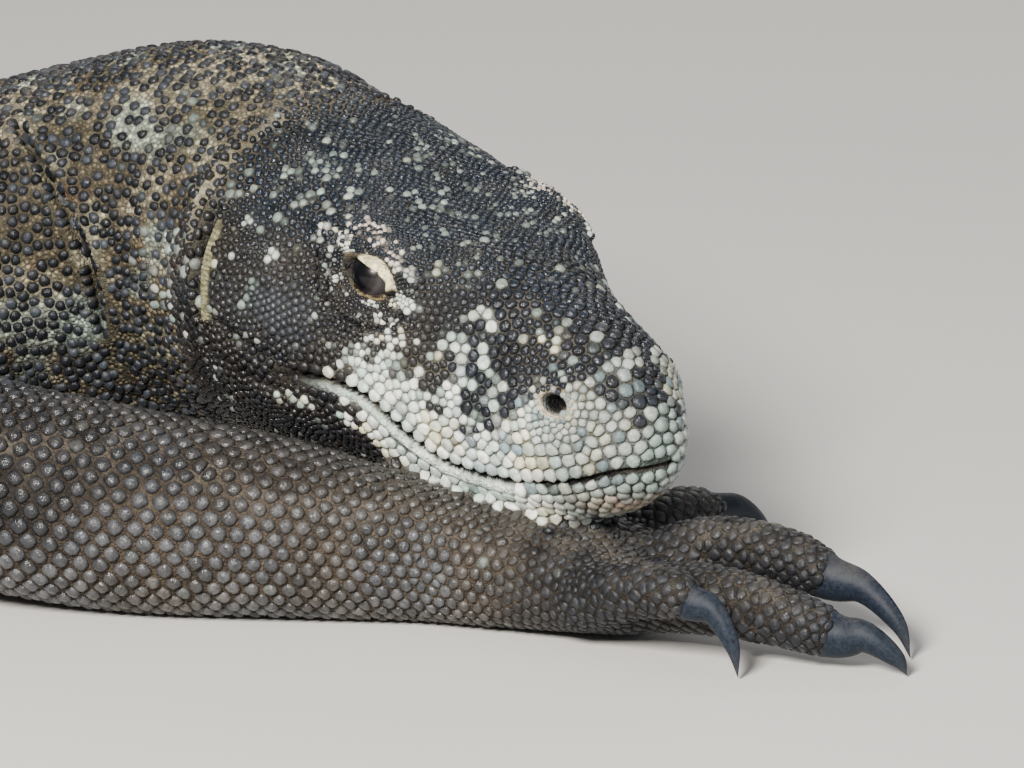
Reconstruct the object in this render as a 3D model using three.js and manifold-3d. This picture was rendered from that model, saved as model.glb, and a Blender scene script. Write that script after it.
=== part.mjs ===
// A komodo dragon, life size, lying on its belly with its chin on its right wrist.
// Millimetres, +Z up, +X is the way the body faces, and the floor is z = 0.
// Each length of flesh is a loft: rings across a smooth centre line, closed by a fan at each end.
import * as THREE from 'three';
import Module from 'manifold-3d';
import { mergeVertices } from 'three/addons/utils/BufferGeometryUtils.js';

const wasm = await Module();
wasm.setup();

// ---- driving dimensions ----
const GAP = 0.4;                          // clearance between two pieces that touch
const KEY_GAP = 0.008;                    // the same clearance counted in keys of an arm, 50 mm apart
const CLAW_KEY_GAP = 0.033;               // and in keys of a claw, about 12 mm apart
const MERGE = 1e-4;                       // points closer than this are one point
const NUDGE = 0.02;                       // step, in keys or radians, that a slope is measured over
const PLAN_MIDDLE = [-940.894, 278.922];      // middle of the whole animal's plan, before it is centred
const HEAD_ORIGIN = [0, 145, 89];         // on the head's axis, level with the ears
const HEAD_TURN = [3.6, 6.7, -53.6];      // roll, nose-down pitch and yaw, in degrees
const HEAD_REAR = -15;                    // where the head meets the neck, along its own axis
const EYE = { x: 80, y: 36.8, z: 38.4, radius: 9.0 };
const NOSTRIL = { x: 170, y: 28.5, z: 20, size: [4.2, 3.2, 2.8] };
const EAR = { x: 11, y: 65, z: 24, size: [3, 5, 14] };
const FINE = { around: 24, step: 0.6 };   // ring points and ring spacing (in keys) of the body

// ---- the head: x along its axis, half width, top, bottom, height of the widest point,
//      and the roundness (superellipse power) of its upper and lower half ----
const HEAD = [
  [197.5, 0.5, 7, 4.5, 5.5, 2, 2],
  [195.5, 9.5, 15.5, -7.5, 3.5, 2, 2],
  [190, 16, 23, -15.5, 2.5, 2, 2],
  [181, 22, 30.5, -22.5, 1, 1.95, 2.1],
  [170, 27.5, 37, -29, 0, 1.95, 2.2],
  [150, 33, 43, -34, 0, 2, 2.3],
  [130, 38, 48, -37, 0, 2.2, 2.3],
  [112, 43, 53, -39, 0, 2.6, 2.3],
  [92, 48.5, 56.5, -41, 0, 3, 2.3],
  [70, 53.5, 59, -44, 0, 2.9, 2.2],
  [48, 58.5, 62, -50, 0, 2.6, 2.2],
  [26, 62, 65, -55, 2, 2.3, 2.1],
  [5, 62.5, 68, -58, 4, 2.2, 2.1],
  [-15, 59, 70, -60, 5, 2.1, 2.1],
];
// swellings and hollows of the head, the same on both sides: amount, centre, reach
const HEAD_FORMS = {
  brow: [13, [90, 43, 52], [23, 10, 10]],
  browFront: [3.5, [113, 36, 49], [16, 9, 9]],
  crownDip: [-3.5, [90, 0, 60], [25, 18, 20]],
  orbit: [-4.5, [84, 47, 39], [16, 12, 10]],
  lore: [-3, [132, 40, 26], [23, 15, 11]],
  nostrilSwelling: [2.5, [170, 27, 22], [15, 13, 12]],
  jawMuscle: [4.5, [28, 62, 16], [32, 25, 30]],
};
// the line where the lips meet, as (x, z) on the head's axis, from the snout back to the corner
const MOUTH = [
  [215, 3.5], [201, 3.5], [193, 3], [181, -2.5], [168, -8.4], [152, -14.3], [136, -16.4],
  [122, -15.8], [111, -11], [100, -5], [89, -0.5], [74, 0], [56, -1.5], [40, -3.5],
];
const JAW_BACK = [[26, -30], [20, -90], [215, -90]];   // from the mouth's corner under the jaw

// ---- the axis of the body, head end first: centre, half width, height above and below it, power ----
const SPINE = [
  [22, 116, 92, 46, 46, 58, 2.2],
  [-10, 159, 94, 58.5, 69, 68, 2.1],
  [-44, 196, 95, 61, 69, 75, 2.2],
  [-90, 220, 87, 68, 63, 74, 2.2],
  [-145, 230, 79, 78, 56, 74, 2.2],
  [-210, 234, 76, 91, 64, 79, 2.3],
  [-300, 242, 80, 108, 82, 86, 2.3],
  [-420, 256, 86, 126, 96, 90, 2.3],
  [-550, 268, 86, 134, 102, 90, 2.3],
  [-670, 272, 84, 122, 94, 88, 2.3],
  [-780, 270, 78, 96, 80, 82, 2.3],
  [-880, 262, 68, 74, 66, 72, 2.2],
  [-1000, 244, 59, 57, 60, 62, 2.1],
  [-1160, 214, 49, 42, 52, 51, 2],
  [-1340, 190, 40, 30, 43, 41, 2],
  [-1540, 195, 31, 20.5, 34, 32, 2],
  [-1750, 245, 22.5, 13, 25, 23.5, 2],
  [-1940, 340, 15, 8, 15.5, 15.5, 2],
  [-2080, 460, 7.5, 3.5, 6, 8, 2],
];
// where the named lengths of the body start, counted in keys of SPINE
const LENGTHS = {
  neck: 0, trunk_front: 4.7, trunk_rear: 7.6, tail_1: 10.8, tail_2: 12.9, tail_3: 14.4, tail_4: 16, end: 18,
};

// ---- limbs: same columns as SPINE; each starts inside the piece it grows from ----
const ARM_RIGHT = [
  [-240, 190, 84, 42, 42, 44, 2],
  [-205, 115, 70, 42, 43, 46, 2],
  [-166, 74, 52, 39, 39, 36, 2],
  [-116, 54, 42, 37.5, 35, 37, 2.1],
  [-65, 43, 36, 36, 33, 37, 2.1],
  [-10, 35, 30, 31, 30, 31, 2.1],
  [36, 29, 24, 25, 22, 25, 2.2],
  [64, 24, 20, 28, 19, 21, 2.4],
];
const ARM_RIGHT_CUTS = { elbow: 2.3, wrist: 6 };
const UPPER_ARM_LEFT = [
  [-240, 300, 82, 42, 42, 44, 2],
  [-265, 365, 72, 42, 43, 46, 2],
  [-295, 415, 58, 39, 40, 42, 2],
  [-312, 446, 50, 34, 35, 38, 2],
  [-322, 463, 46, 20, 21, 23, 2],
];
const FOREARM_LEFT = [
  [-325, 435, 48, 32, 33, 36, 2],
  [-290, 456, 46, 37, 37, 40, 2],
  [-240, 472, 40, 35, 34, 38, 2],
  [-185, 482, 32, 30, 29, 32, 2.1],
  [-140, 486, 25, 25, 22, 25, 2.2],
];
const THIGH_RIGHT = [
  [-810, 240, 75, 60, 54, 58, 2],
  [-770, 165, 72, 56, 53, 56, 2],
  [-725, 115, 65, 50, 49, 53, 2],
  [-695, 80, 57, 43, 44, 48, 2],
  [-676, 56, 51, 25, 27, 31, 2],
];
const SHANK_RIGHT = [
  [-685, 85, 54, 34, 36, 40, 2],
  [-717, 50, 49, 39, 39, 43, 2],
  [-762, 30, 41, 35, 34, 38, 2],
  [-806, 18, 32, 28, 27, 31, 2.1],
  [-840, 12, 27, 26, 23, 26, 2.2],
];
const THIGH_LEFT = [
  [-810, 300, 75, 60, 54, 58, 2],
  [-785, 380, 72, 56, 53, 56, 2],
  [-750, 435, 65, 50, 49, 53, 2],
  [-725, 472, 57, 43, 44, 48, 2],
  [-708, 498, 51, 25, 27, 31, 2],
];
const SHANK_LEFT = [
  [-715, 467, 54, 34, 36, 40, 2],
  [-747, 502, 49, 39, 39, 43, 2],
  [-792, 524, 41, 35, 34, 38, 2],
  [-841, 537, 32, 28, 27, 31, 2.1],
  [-875, 545, 27, 26, 23, 26, 2.2],
];
// ---- the paw, in its own frame: forward, towards the thumb, up ----
const PALM = [
  [-60, 10, 24.5, 24, 21, 24.5, 2.2],
  [-26, 4, 20, 28, 21, 21, 2.4],
  [4, -2, 17, 33, 20, 17, 2.5],
  [24, -8, 14, 29, 14, 14, 2.5],
];
// digits from the thumb (1) to the outermost (5): flesh rows, then claw rows, as place and radius;
// a claw's first row is its root, at the last row of the flesh
const DIGITS = [
  { flesh: [[-8, 16, 16, 10], [8, 42, 22, 10], [16, 60, 19, 8.5]], root: 6.5,
    claw: [[22, 70, 18, 4.6], [26, 78, 10, 3], [28, 81, 1, 0.6]] },
  { flesh: [[4, 10, 17, 11], [28, 32, 29, 11], [44, 50, 26, 9.5]], root: 7,
    claw: [[54, 60, 24, 5], [63, 67, 14, 3.2], [66, 70, 1, 0.6]] },
  { flesh: [[12, -2, 17, 12], [40, -6, 29, 12], [67, -16, 29, 11.5], [84, -26, 24, 9.5]], root: 8,
    claw: [[95, -32, 22, 5.6], [106, -40, 12, 3.5], [110, -44, 1, 0.6]] },
  { flesh: [[12, -18, 15, 13], [40, -34, 19, 13.5], [64, -46, 17, 12], [84, -54, 12, 10]], root: 8,
    claw: [[94, -59, 13, 5.6], [104, -63, 7, 3.5], [108, -64, 1, 0.6]] },
  { flesh: [[-4, -24, 15, 12], [16, -42, 24, 11], [30, -52, 26, 10], [36, -56, 24, 8]], root: 6.5,
    claw: [[43, -60, 22, 5], [49, -65, 12, 3.3], [51, -67, 1, 0.6]] },
];
// each paw: its node, its digits' nodes, place, yaw in degrees, side of the thumb, size
const PAWS = {
  hand_right: { at: [90, 20], yaw: 0, thumb: 1, size: 1 },
  hand_left: { at: [-84, 484], yaw: 4, thumb: -1, size: 1 },
  foot_right: { at: [-807, -44], yaw: -60, thumb: 1, size: 1.2 },
  foot_left: { at: [-844, 602], yaw: 62, thumb: -1, size: 1.2 },
};

// ---- materials ----
const finish = (color, roughness) => new THREE.MeshStandardMaterial({ color, roughness, metalness: 0 });
const hide = finish(0x514c45, 0.6);
const darkHide = finish(0x34353a, 0.6);
const lip = finish(0x9b9c8c, 0.55);
const claw = finish(0x24282d, 0.35);
const eye = finish(0x1d120c, 0.08);

// ---- closed surfaces and solids ----
const UP = new THREE.Vector3(0, 0, 1);
const roundPower = (value, power) => Math.sign(value) * Math.abs(value) ** power;

/** Closed surface through rings with equally many points, with a fan to the middle of each end. */
function loftGeometry(rings) {
  const around = rings[0].length;
  const middles = [rings[0], rings.at(-1)].map((ring) =>
    ring.reduce((sum, point) => sum.add(point), new THREE.Vector3()).divideScalar(around));
  const points = [...rings.flat(), ...middles];
  const first = points.length - 2;
  const lastRing = (rings.length - 1) * around;
  const faces = [];
  for (let j = 0; j < around; j += 1) {
    const k = (j + 1) % around;
    faces.push(first, k, j, first + 1, lastRing + j, lastRing + k);
    for (let i = 0; i < rings.length - 1; i += 1) {
      const a = i * around;
      const b = a + around;
      faces.push(a + j, a + k, b + k, a + j, b + k, b + j);
    }
  }
  const geometry = new THREE.BufferGeometry().setFromPoints(points);
  geometry.setIndex(faces);
  return geometry;
}

/** Manifold solid of a closed geometry; the faces are turned over if they point inwards. */
function solidOf(source) {
  const bare = source.clone();
  bare.deleteAttribute('normal');
  bare.deleteAttribute('uv');
  const geometry = mergeVertices(bare, MERGE);
  const index = Array.from(geometry.index.array);
  const faces = [];
  for (let i = 0; i < index.length; i += 3) {
    const [a, b, c] = index.slice(i, i + 3);
    if (a !== b && b !== c && c !== a) faces.push([a, b, c]);
  }
  const vertProperties = new Float32Array(geometry.attributes.position.array);
  const corner = (i) => new THREE.Vector3().fromArray(vertProperties, 3 * i);
  const volume = faces.reduce((sum, [a, b, c]) => sum + corner(a).dot(corner(b).cross(corner(c))), 0);
  const triVerts = new Uint32Array((volume < 0 ? faces.map(([a, b, c]) => [a, c, b]) : faces).flat());
  return new wasm.Manifold(new wasm.Mesh({ numProp: 3, vertProperties, triVerts }));
}

/** Three.js geometry of a solid. */
function geometryOf(solid) {
  const mesh = solid.getMesh();
  const geometry = new THREE.BufferGeometry();
  geometry.setAttribute('position', new THREE.BufferAttribute(mesh.vertProperties, 3));
  geometry.setIndex(new THREE.BufferAttribute(mesh.triVerts, 1));
  geometry.computeVertexNormals();
  return geometry;
}

/** The solid without its neighbours; crumbs that a cut leaves are dropped. */
function carve(solid, ...neighbours) {
  const rest = neighbours.reduce((left, neighbour) => left.subtract(neighbour), solid);
  return rest.decompose().sort((a, b) => b.volume() - a.volume())[0];
}

/** Smooth curve through three columns of a table, one key per unit of its argument. */
function columns(rows, first) {
  const points = rows.map((row) => new THREE.Vector3(row[first], row[first + 1] ?? 0, row[first + 2] ?? 0));
  const curve = new THREE.CatmullRomCurve3(points, false, 'catmullrom', 0.5);
  return (key) => curve.getPoint(THREE.MathUtils.clamp(key / (rows.length - 1), 0, 1));
}

/** Evenly spaced keys from one to another, no further apart than the step. */
function spread(from, to, step) {
  const pieces = Math.max(1, Math.ceil((to - from) / step - 1e-6));
  return Array.from({ length: pieces + 1 }, (_, i) => from + ((to - from) * i) / pieces);
}

/** Rings across a table's centre line: superellipses with one half width, two half heights.
 *  Grow makes the tube that much bigger all over, its two ends too. */
function tubeRings(rows, from, to, { around = 14, step = 0.7, grow = 0 } = {}) {
  const centre = columns(rows, 0);
  const size = columns(rows, 3);
  const power = columns(rows, 6);
  return spread(from, to, step).map((key) => {
    const beyond = grow * ((key === to) - (key === from));
    const tangent = centre(key + NUDGE).sub(centre(key - NUDGE)).normalize();
    const side = new THREE.Vector3().crossVectors(UP, tangent).normalize();
    const up = new THREE.Vector3().crossVectors(tangent, side);
    const { x: wide, y: high, z: low } = size(key);
    const round = 2 / power(key).x;
    return Array.from({ length: around }, (_, j) => {
      const angle = (2 * Math.PI * j) / around;
      const across = (wide + grow) * roundPower(Math.cos(angle), round);
      const rise = ((Math.sin(angle) > 0 ? high : low) + grow) * roundPower(Math.sin(angle), round);
      return centre(key).addScaledVector(tangent, beyond)
        .addScaledVector(side, across).addScaledVector(up, rise);
    });
  });
}
const tube = (rows, from, to, options) => solidOf(loftGeometry(tubeRings(rows, from, to, options)));
const whole = (rows, options) => tube(rows, 0, rows.length - 1, options);

// ---- everything is built in this group and centred on its plan by it ----
const dragon = new THREE.Group();
dragon.position.set(-PLAN_MIDDLE[0], -PLAN_MIDDLE[1], 0);
const headGroup = new THREE.Group();
headGroup.position.fromArray(HEAD_ORIGIN);
headGroup.rotation.set(...HEAD_TURN.map(THREE.MathUtils.degToRad), 'ZYX');
headGroup.updateMatrix();
dragon.add(headGroup);

const floor = solidOf(new THREE.BoxGeometry(5000, 5000, 400).translate(-900, 300, -200));
function addPiece(name, solid, material, parent = dragon) {
  const mesh = new THREE.Mesh(geometryOf(solid), material);
  mesh.name = name;
  parent.add(mesh);
}

// ---- head, lower jaw and eyes, in the head's own frame ----
/** A point of the plain head: t counts the keys of HEAD, the angle goes round it. */
const headPlace = columns(HEAD, 0);
const headFoot = columns(HEAD, 3);
const headPower = columns(HEAD, 5);
function plainHeadPoint(key, angle) {
  const { x, y: wide, z: top } = headPlace(key);
  const { x: bottom, y: middle } = headFoot(key);
  const { x: above, y: below } = headPower(key);
  const upper = Math.sin(angle) > 0;
  const round = 2 / (upper ? above : below);
  const rise = (upper ? top - middle : middle - bottom) * roundPower(Math.sin(angle), round);
  return new THREE.Vector3(x, wide * roundPower(Math.cos(angle), round), middle + rise);
}
/** The head's surface: the plain form pushed out along its normal by the forms near it. */
function headPoint(key, angle, grow) {
  const point = plainHeadPoint(key, angle);
  const along = plainHeadPoint(key + NUDGE, angle).sub(plainHeadPoint(key - NUDGE, angle));
  const round = plainHeadPoint(key, angle + NUDGE).sub(plainHeadPoint(key, angle - NUDGE));
  const normal = round.cross(along).normalize().negate();
  const out = Object.values(HEAD_FORMS).reduce((sum, [amount, centre, reach]) => {
    const far = [point.x, Math.abs(point.y), point.z].map((value, i) => (value - centre[i]) / reach[i]);
    return sum + amount * Math.exp(-(far[0] ** 2 + far[1] ** 2 + far[2] ** 2));
  }, grow);
  return point.addScaledVector(normal, out);
}
function headSolid(grow = 0, around = 26, step = 0.6) {
  const rings = spread(0, HEAD.length - 1, step).map((key) =>
    Array.from({ length: around }, (_, j) => headPoint(key, (2 * Math.PI * j) / around, grow)));
  return solidOf(loftGeometry(rings));
}
/** All that lies under the line of the lips, out to both sides; lift moves that line up and back. */
function jawRegion(lift = 0) {
  const shape = new THREE.Shape();
  shape.moveTo(MOUTH[0][0], MOUTH[0][1] + lift);
  shape.splineThru(MOUTH.slice(1).map(([x, z]) => new THREE.Vector2(x - lift / 2, z + lift)));
  JAW_BACK.forEach(([x, z]) => shape.lineTo(x < 200 ? x - lift : x, z));
  const depth = 200;
  const region = new THREE.ExtrudeGeometry(shape, { depth, bevelEnabled: false, curveSegments: 1 });
  return solidOf(region.rotateX(Math.PI / 2).translate(0, depth / 2, 0));
}
/** An ellipsoid on one side of the head; size holds its three half lengths. */
function pit({ x, y, z }, size, side) {
  const ball = new THREE.SphereGeometry(1, 10, 7).scale(...size).translate(x, side * y, z);
  return solidOf(ball);
}
const sides = { right: -1, left: 1 };
const socket = EYE.radius + GAP;
const holes = Object.values(sides).flatMap((side) => [
  pit(EYE, [socket, socket, socket], side),
  pit(NOSTRIL, NOSTRIL.size, side),
  pit(EAR, EAR.size, side),
]);
const fullHead = headSolid();
addPiece('head', carve(fullHead, jawRegion(GAP), ...holes), hide, headGroup);
addPiece('lower_jaw', carve(fullHead.intersect(jawRegion())), lip, headGroup);
for (const [name, side] of Object.entries(sides)) {
  const size = [EYE.radius, EYE.radius, EYE.radius];
  addPiece(`eye_${name}`, pit(EYE, size, side), eye, headGroup);
}
const headRoom = solidOf(geometryOf(headSolid(GAP)).applyMatrix4(headGroup.matrix));
const headSpace = new THREE.BoxGeometry(300, 400, 400).translate(150 + HEAD_REAR - GAP, 0, 0);
const beforeNeck = solidOf(headSpace.applyMatrix4(headGroup.matrix));

// ---- neck, trunk and tail: lengths of one tube, with a gap between the flat ends ----
const lengthNames = Object.keys(LENGTHS);
const bodyRoom = {};
for (const [i, name] of lengthNames.slice(0, -1).entries()) {
  const from = LENGTHS[name];
  const to = LENGTHS[lengthNames[i + 1]];
  const centre = columns(SPINE, 0);
  const gapInKeys = (GAP * NUDGE) / centre(from + NUDGE).distanceTo(centre(from));
  const solid = tube(SPINE, from + gapInKeys, to, FINE);
  const cutters = name === 'neck' ? [floor, beforeNeck] : [floor];
  addPiece(name, carve(solid, ...cutters), name === 'neck' ? darkHide : hide);
  bodyRoom[name] = tube(SPINE, from, to, { ...FINE, grow: GAP });
}
const trunkRoom = [bodyRoom.neck, bodyRoom.trunk_front, bodyRoom.trunk_rear, bodyRoom.tail_1];

// ---- limbs ----
const grown = { grow: GAP };
const { elbow, wrist } = ARM_RIGHT_CUTS;
const limbRoom = {
  hand_right: [tube(ARM_RIGHT, elbow, wrist, grown)],
  hand_left: [whole(FOREARM_LEFT, grown)],
  foot_right: [whole(SHANK_RIGHT, grown), whole(THIGH_RIGHT, grown)],
  foot_left: [whole(SHANK_LEFT, grown), whole(THIGH_LEFT, grown)],
};
const upperArmRight = tube(ARM_RIGHT, 0, elbow);
const forearmRight = tube(ARM_RIGHT, elbow + KEY_GAP, wrist);
addPiece('upper_arm_right', carve(upperArmRight, floor, ...trunkRoom), hide);
addPiece('forearm_right', carve(forearmRight, floor, headRoom, ...trunkRoom), hide);
for (const [upper, lower, upperRows, lowerRows] of [
  ['upper_arm_left', 'forearm_left', UPPER_ARM_LEFT, FOREARM_LEFT],
  ['thigh_right', 'shank_right', THIGH_RIGHT, SHANK_RIGHT],
  ['thigh_left', 'shank_left', THIGH_LEFT, SHANK_LEFT],
]) {
  addPiece(upper, carve(whole(upperRows), floor, ...trunkRoom), hide);
  addPiece(lower, carve(whole(lowerRows), floor, whole(upperRows, grown), ...trunkRoom), hide);
}

// ---- paws: a palm with five digits grown together, and a claw on each digit ----
/** A row of the paw's own frame set down at its place on the floor. */
function placeRow([forward, inward, height, ...sizes], { at, yaw, thumb, size }) {
  const turn = THREE.MathUtils.degToRad(yaw);
  const [along, across] = [forward * size, inward * size * thumb];
  return [
    at[0] + along * Math.cos(turn) - across * Math.sin(turn),
    at[1] + along * Math.sin(turn) + across * Math.cos(turn),
    height * size,
    ...sizes.map((value, i) => (i < 3 ? value * size : value)),
  ];
}
/** Round rows with one radius, or a claw's narrower ones. */
const roundRow = ([x, y, z, radius], narrow = 1) => [x, y, z, radius * narrow, radius, radius, 2];
for (const [name, paw] of Object.entries(PAWS)) {
  const palm = whole(PALM.map((row) => placeRow(row, paw)), { around: 14 });
  let flesh = palm;
  for (const [i, digit] of DIGITS.entries()) {
    const fleshRows = digit.flesh.map((row) => placeRow(row, paw));
    const clawRows = digit.claw.map((row) => placeRow(row, paw));
    const rootRow = fleshRows.at(-1).with(3, digit.root * paw.size);
    const knuckles = [...fleshRows, ...clawRows].map((row) => roundRow(row));
    const lastFlesh = fleshRows.length - 1;
    flesh = flesh.add(tube(knuckles, 0, lastFlesh, { around: 8, step: 1 }));
    const talon = [...fleshRows.slice(0, -1), rootRow, ...clawRows].map((row) => roundRow(row, 0.8));
    const start = lastFlesh + CLAW_KEY_GAP;
    const clawName = `claw_${name}_${i + 1}`;
    addPiece(clawName, carve(tube(talon, start, talon.length - 1, { around: 6, step: 1 }), floor), claw);
  }
  const neighbours = name === 'hand_right' ? [floor, headRoom] : [floor];
  addPiece(name, carve(flesh, ...neighbours, ...limbRoom[name]), hide);
}

export default dragon;
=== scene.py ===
# %% [markdown]
# # A komodo dragon at rest
# A life-size still model of a komodo dragon that lies on its belly with its chin on its right wrist.
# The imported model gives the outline. This script wraps one skin round all the flesh, sets about
# forty-seven thousand separate scales on it, and adds the eyes and the claws.
#
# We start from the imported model, whose pieces are a fixed frame in metres, and keep its box.

import bmesh
import bpy
import numpy as np
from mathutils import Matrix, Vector
from mathutils.bvhtree import BVHTree
from mathutils.kdtree import KDTree


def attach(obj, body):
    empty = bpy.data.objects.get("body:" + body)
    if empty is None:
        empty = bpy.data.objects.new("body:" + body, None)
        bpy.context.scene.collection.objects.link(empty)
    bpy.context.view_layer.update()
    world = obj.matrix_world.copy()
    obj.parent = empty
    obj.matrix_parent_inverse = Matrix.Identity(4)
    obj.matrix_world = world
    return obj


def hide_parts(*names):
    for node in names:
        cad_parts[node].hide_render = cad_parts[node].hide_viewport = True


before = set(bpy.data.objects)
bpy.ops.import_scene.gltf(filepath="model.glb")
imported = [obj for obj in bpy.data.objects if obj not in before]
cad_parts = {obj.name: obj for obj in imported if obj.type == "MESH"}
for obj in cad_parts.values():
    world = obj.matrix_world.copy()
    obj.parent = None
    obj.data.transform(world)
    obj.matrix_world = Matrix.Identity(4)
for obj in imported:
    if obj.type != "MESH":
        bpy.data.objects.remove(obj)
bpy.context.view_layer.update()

# %% [markdown]
# ## Camera, light and floor
# The lens is long and the camera stands 3.4 m off, 15 degrees above the floor, level with the head.
# Three large area lamps and a pale world give soft studio light, so no shadow has a hard edge.

# %% Camera, light and floor
MM = 0.001
PLAN_MIDDLE = np.array([-940.894, 278.922, 0.0])  # middle of the whole animal's plan, in millimetres
CAMERA_TARGET = np.array([64.8, 145.0, 89.0])
CAMERA_DISTANCE = 3400.0
CAMERA_RISE = np.radians(15)
CAMERA_DROP = 35.75  # how far under the target the picture's middle lies
LENS = 337.7
# lamp: place in millimetres from the target, width in metres, power in watts, colour
LAMPS = {
    "key": ((-800, -2100, 1400), 0.7, 190, (1.0, 0.965, 0.91)),
    "fill": ((2200, -1500, 900), 2.0, 26, (0.93, 0.96, 1.0)),
    "rim": ((700, 2100, 1500), 1.6, 20, (1.0, 0.98, 0.95)),
}
WORLD_COLOUR = (0.86, 0.9, 0.95, 1.0)
WORLD_LIGHT = 0.23
FLOOR_HALF = 30.0  # half the width of the floor, in metres
FLOOR_COLOUR = (0.62, 0.6, 0.57)


def placed(points):
    """Millimetres of the drawing to metres of the frame: subtract the plan's middle, then scale."""
    return (np.asarray(points) - PLAN_MIDDLE) * MM


def point_at(thing, place, target):
    """Set an object at a place with its -Z axis towards a target and its Y axis up."""
    thing.location = Vector(place)
    thing.rotation_euler = (Vector(target) - Vector(place)).to_track_quat("-Z", "Y").to_euler()


def set_camera():
    """The eye stands back from the picture's middle along a line that drops by CAMERA_RISE."""
    sight = np.array([0.0, np.cos(CAMERA_RISE), -np.sin(CAMERA_RISE)])
    upward = np.array([0.0, np.sin(CAMERA_RISE), np.cos(CAMERA_RISE)])
    aim = CAMERA_TARGET - CAMERA_DROP * upward
    camera = bpy.data.objects.new("camera", bpy.data.cameras.new("camera"))
    camera.data.lens = LENS
    camera.data.sensor_width = 36.0
    camera.data.clip_end = 200.0
    bpy.context.collection.objects.link(camera)
    point_at(camera, placed(aim - CAMERA_DISTANCE * sight), placed(aim))
    bpy.context.scene.camera = camera


def add_lamp(name, offset, width, power, colour):
    """A square area lamp that points at the head."""
    lamp = bpy.data.lights.new(name, "AREA")
    lamp.size = width
    lamp.energy = power
    lamp.color = colour
    holder = bpy.data.objects.new(name, lamp)
    bpy.context.collection.objects.link(holder)
    point_at(holder, placed(CAMERA_TARGET + np.array(offset)), placed(CAMERA_TARGET))


def start_material(name):
    """A material with nodes, its tree and its Principled BSDF."""
    material = bpy.data.materials.new(name)
    material.use_nodes = True
    return material, material.node_tree, material.node_tree.nodes["Principled BSDF"]


def plain_material(name, colour, roughness):
    """A Principled BSDF with one colour, for the floor."""
    material, _, shader = start_material(name)
    shader.inputs["Base Color"].default_value = (*colour, 1.0)
    shader.inputs["Roughness"].default_value = roughness
    return material


set_camera()
for lamp_name, lamp_values in LAMPS.items():
    add_lamp(lamp_name, *lamp_values)
world = bpy.data.worlds.new("studio")
world.use_nodes = True
world.node_tree.nodes["Background"].inputs["Color"].default_value = WORLD_COLOUR
world.node_tree.nodes["Background"].inputs["Strength"].default_value = WORLD_LIGHT
bpy.context.scene.world = world
floor_corners = [(x * FLOOR_HALF, y * FLOOR_HALF, 0) for x, y in ((-1, -1), (1, -1), (1, 1), (-1, 1))]
floor_mesh = bpy.data.meshes.new("floor")
floor_mesh.from_pydata(floor_corners, [], [(0, 1, 2, 3)])
floor_mesh.materials.append(plain_material("pale_floor", FLOOR_COLOUR, 0.85))
floor = bpy.data.objects.new("floor", floor_mesh)
bpy.context.collection.objects.link(floor)
print("camera at", tuple(round(v, 3) for v in bpy.context.scene.camera.location))

# %% [markdown]
# ## The measurements
# The animal is drawn in millimetres, with +X the way the body faces and the floor at z = 0.
# Each length of flesh is a table of rows along its middle line: place, half width, height above and
# below the line, and the power of the superellipse across it. The same tables shape the solids.

# %% The measurements
HEAD_ORIGIN = np.array([0.0, 145.0, 89.0])
HEAD_TURN = np.radians([3.6, 6.7, -53.6])  # roll, nose-down pitch and yaw
# x along the head's axis, half width, top, bottom, height of the widest point, upper and lower power
HEAD = [
    (197.5, 0.5, 7, 4.5, 5.5, 2, 2), (195.5, 9.5, 15.5, -7.5, 3.5, 2, 2), (190, 16, 23, -15.5, 2.5, 2, 2),
    (181, 22, 30.5, -22.5, 1, 1.95, 2.1), (170, 27.5, 37, -29, 0, 1.95, 2.2), (150, 33, 43, -34, 0, 2, 2.3),
    (130, 38, 48, -37, 0, 2.2, 2.3), (112, 43, 53, -39, 0, 2.6, 2.3), (92, 48.5, 56.5, -41, 0, 3, 2.3),
    (70, 53.5, 59, -44, 0, 2.9, 2.2), (48, 58.5, 62, -50, 0, 2.6, 2.2), (26, 62, 65, -55, 2, 2.3, 2.1),
    (5, 62.5, 68, -58, 4, 2.2, 2.1), (-15, 59, 70, -60, 5, 2.1, 2.1),
]
# swellings and hollows of the head, the same on both sides: amount, centre, reach
HEAD_FORMS = {
    "brow": (13, (90, 43, 52), (23, 10, 10)),
    "brow_front": (3.5, (113, 36, 49), (16, 9, 9)),
    "crown_dip": (-3.5, (90, 0, 60), (25, 18, 20)),
    "orbit": (-4.5, (84, 47, 39), (16, 12, 10)),
    "lore": (-3, (132, 40, 26), (23, 15, 11)),
    "nostril_swelling": (2.5, (170, 27, 22), (15, 13, 12)),
    "jaw_muscle": (4.5, (28, 62, 16), (32, 25, 30)),
}
# where the lips meet, from the snout back to the corner: x, distance from the middle, height
MOUTH = [
    (197.5, 0, -1.0), (195.5, 8.5, -1.2), (190, 15.5, -2.2), (180, 21.5, -7.0), (168, 27, -11.6),
    (152, 30.5, -15.9), (136, 33.5, -17.7), (122, 37, -17.0), (111, 41.5, -12.3), (100, 46, -6.0),
    (89, 49, -1.0), (74, 53, 0), (56, 57, -1.5), (40, 61, -3.5),
]
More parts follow.
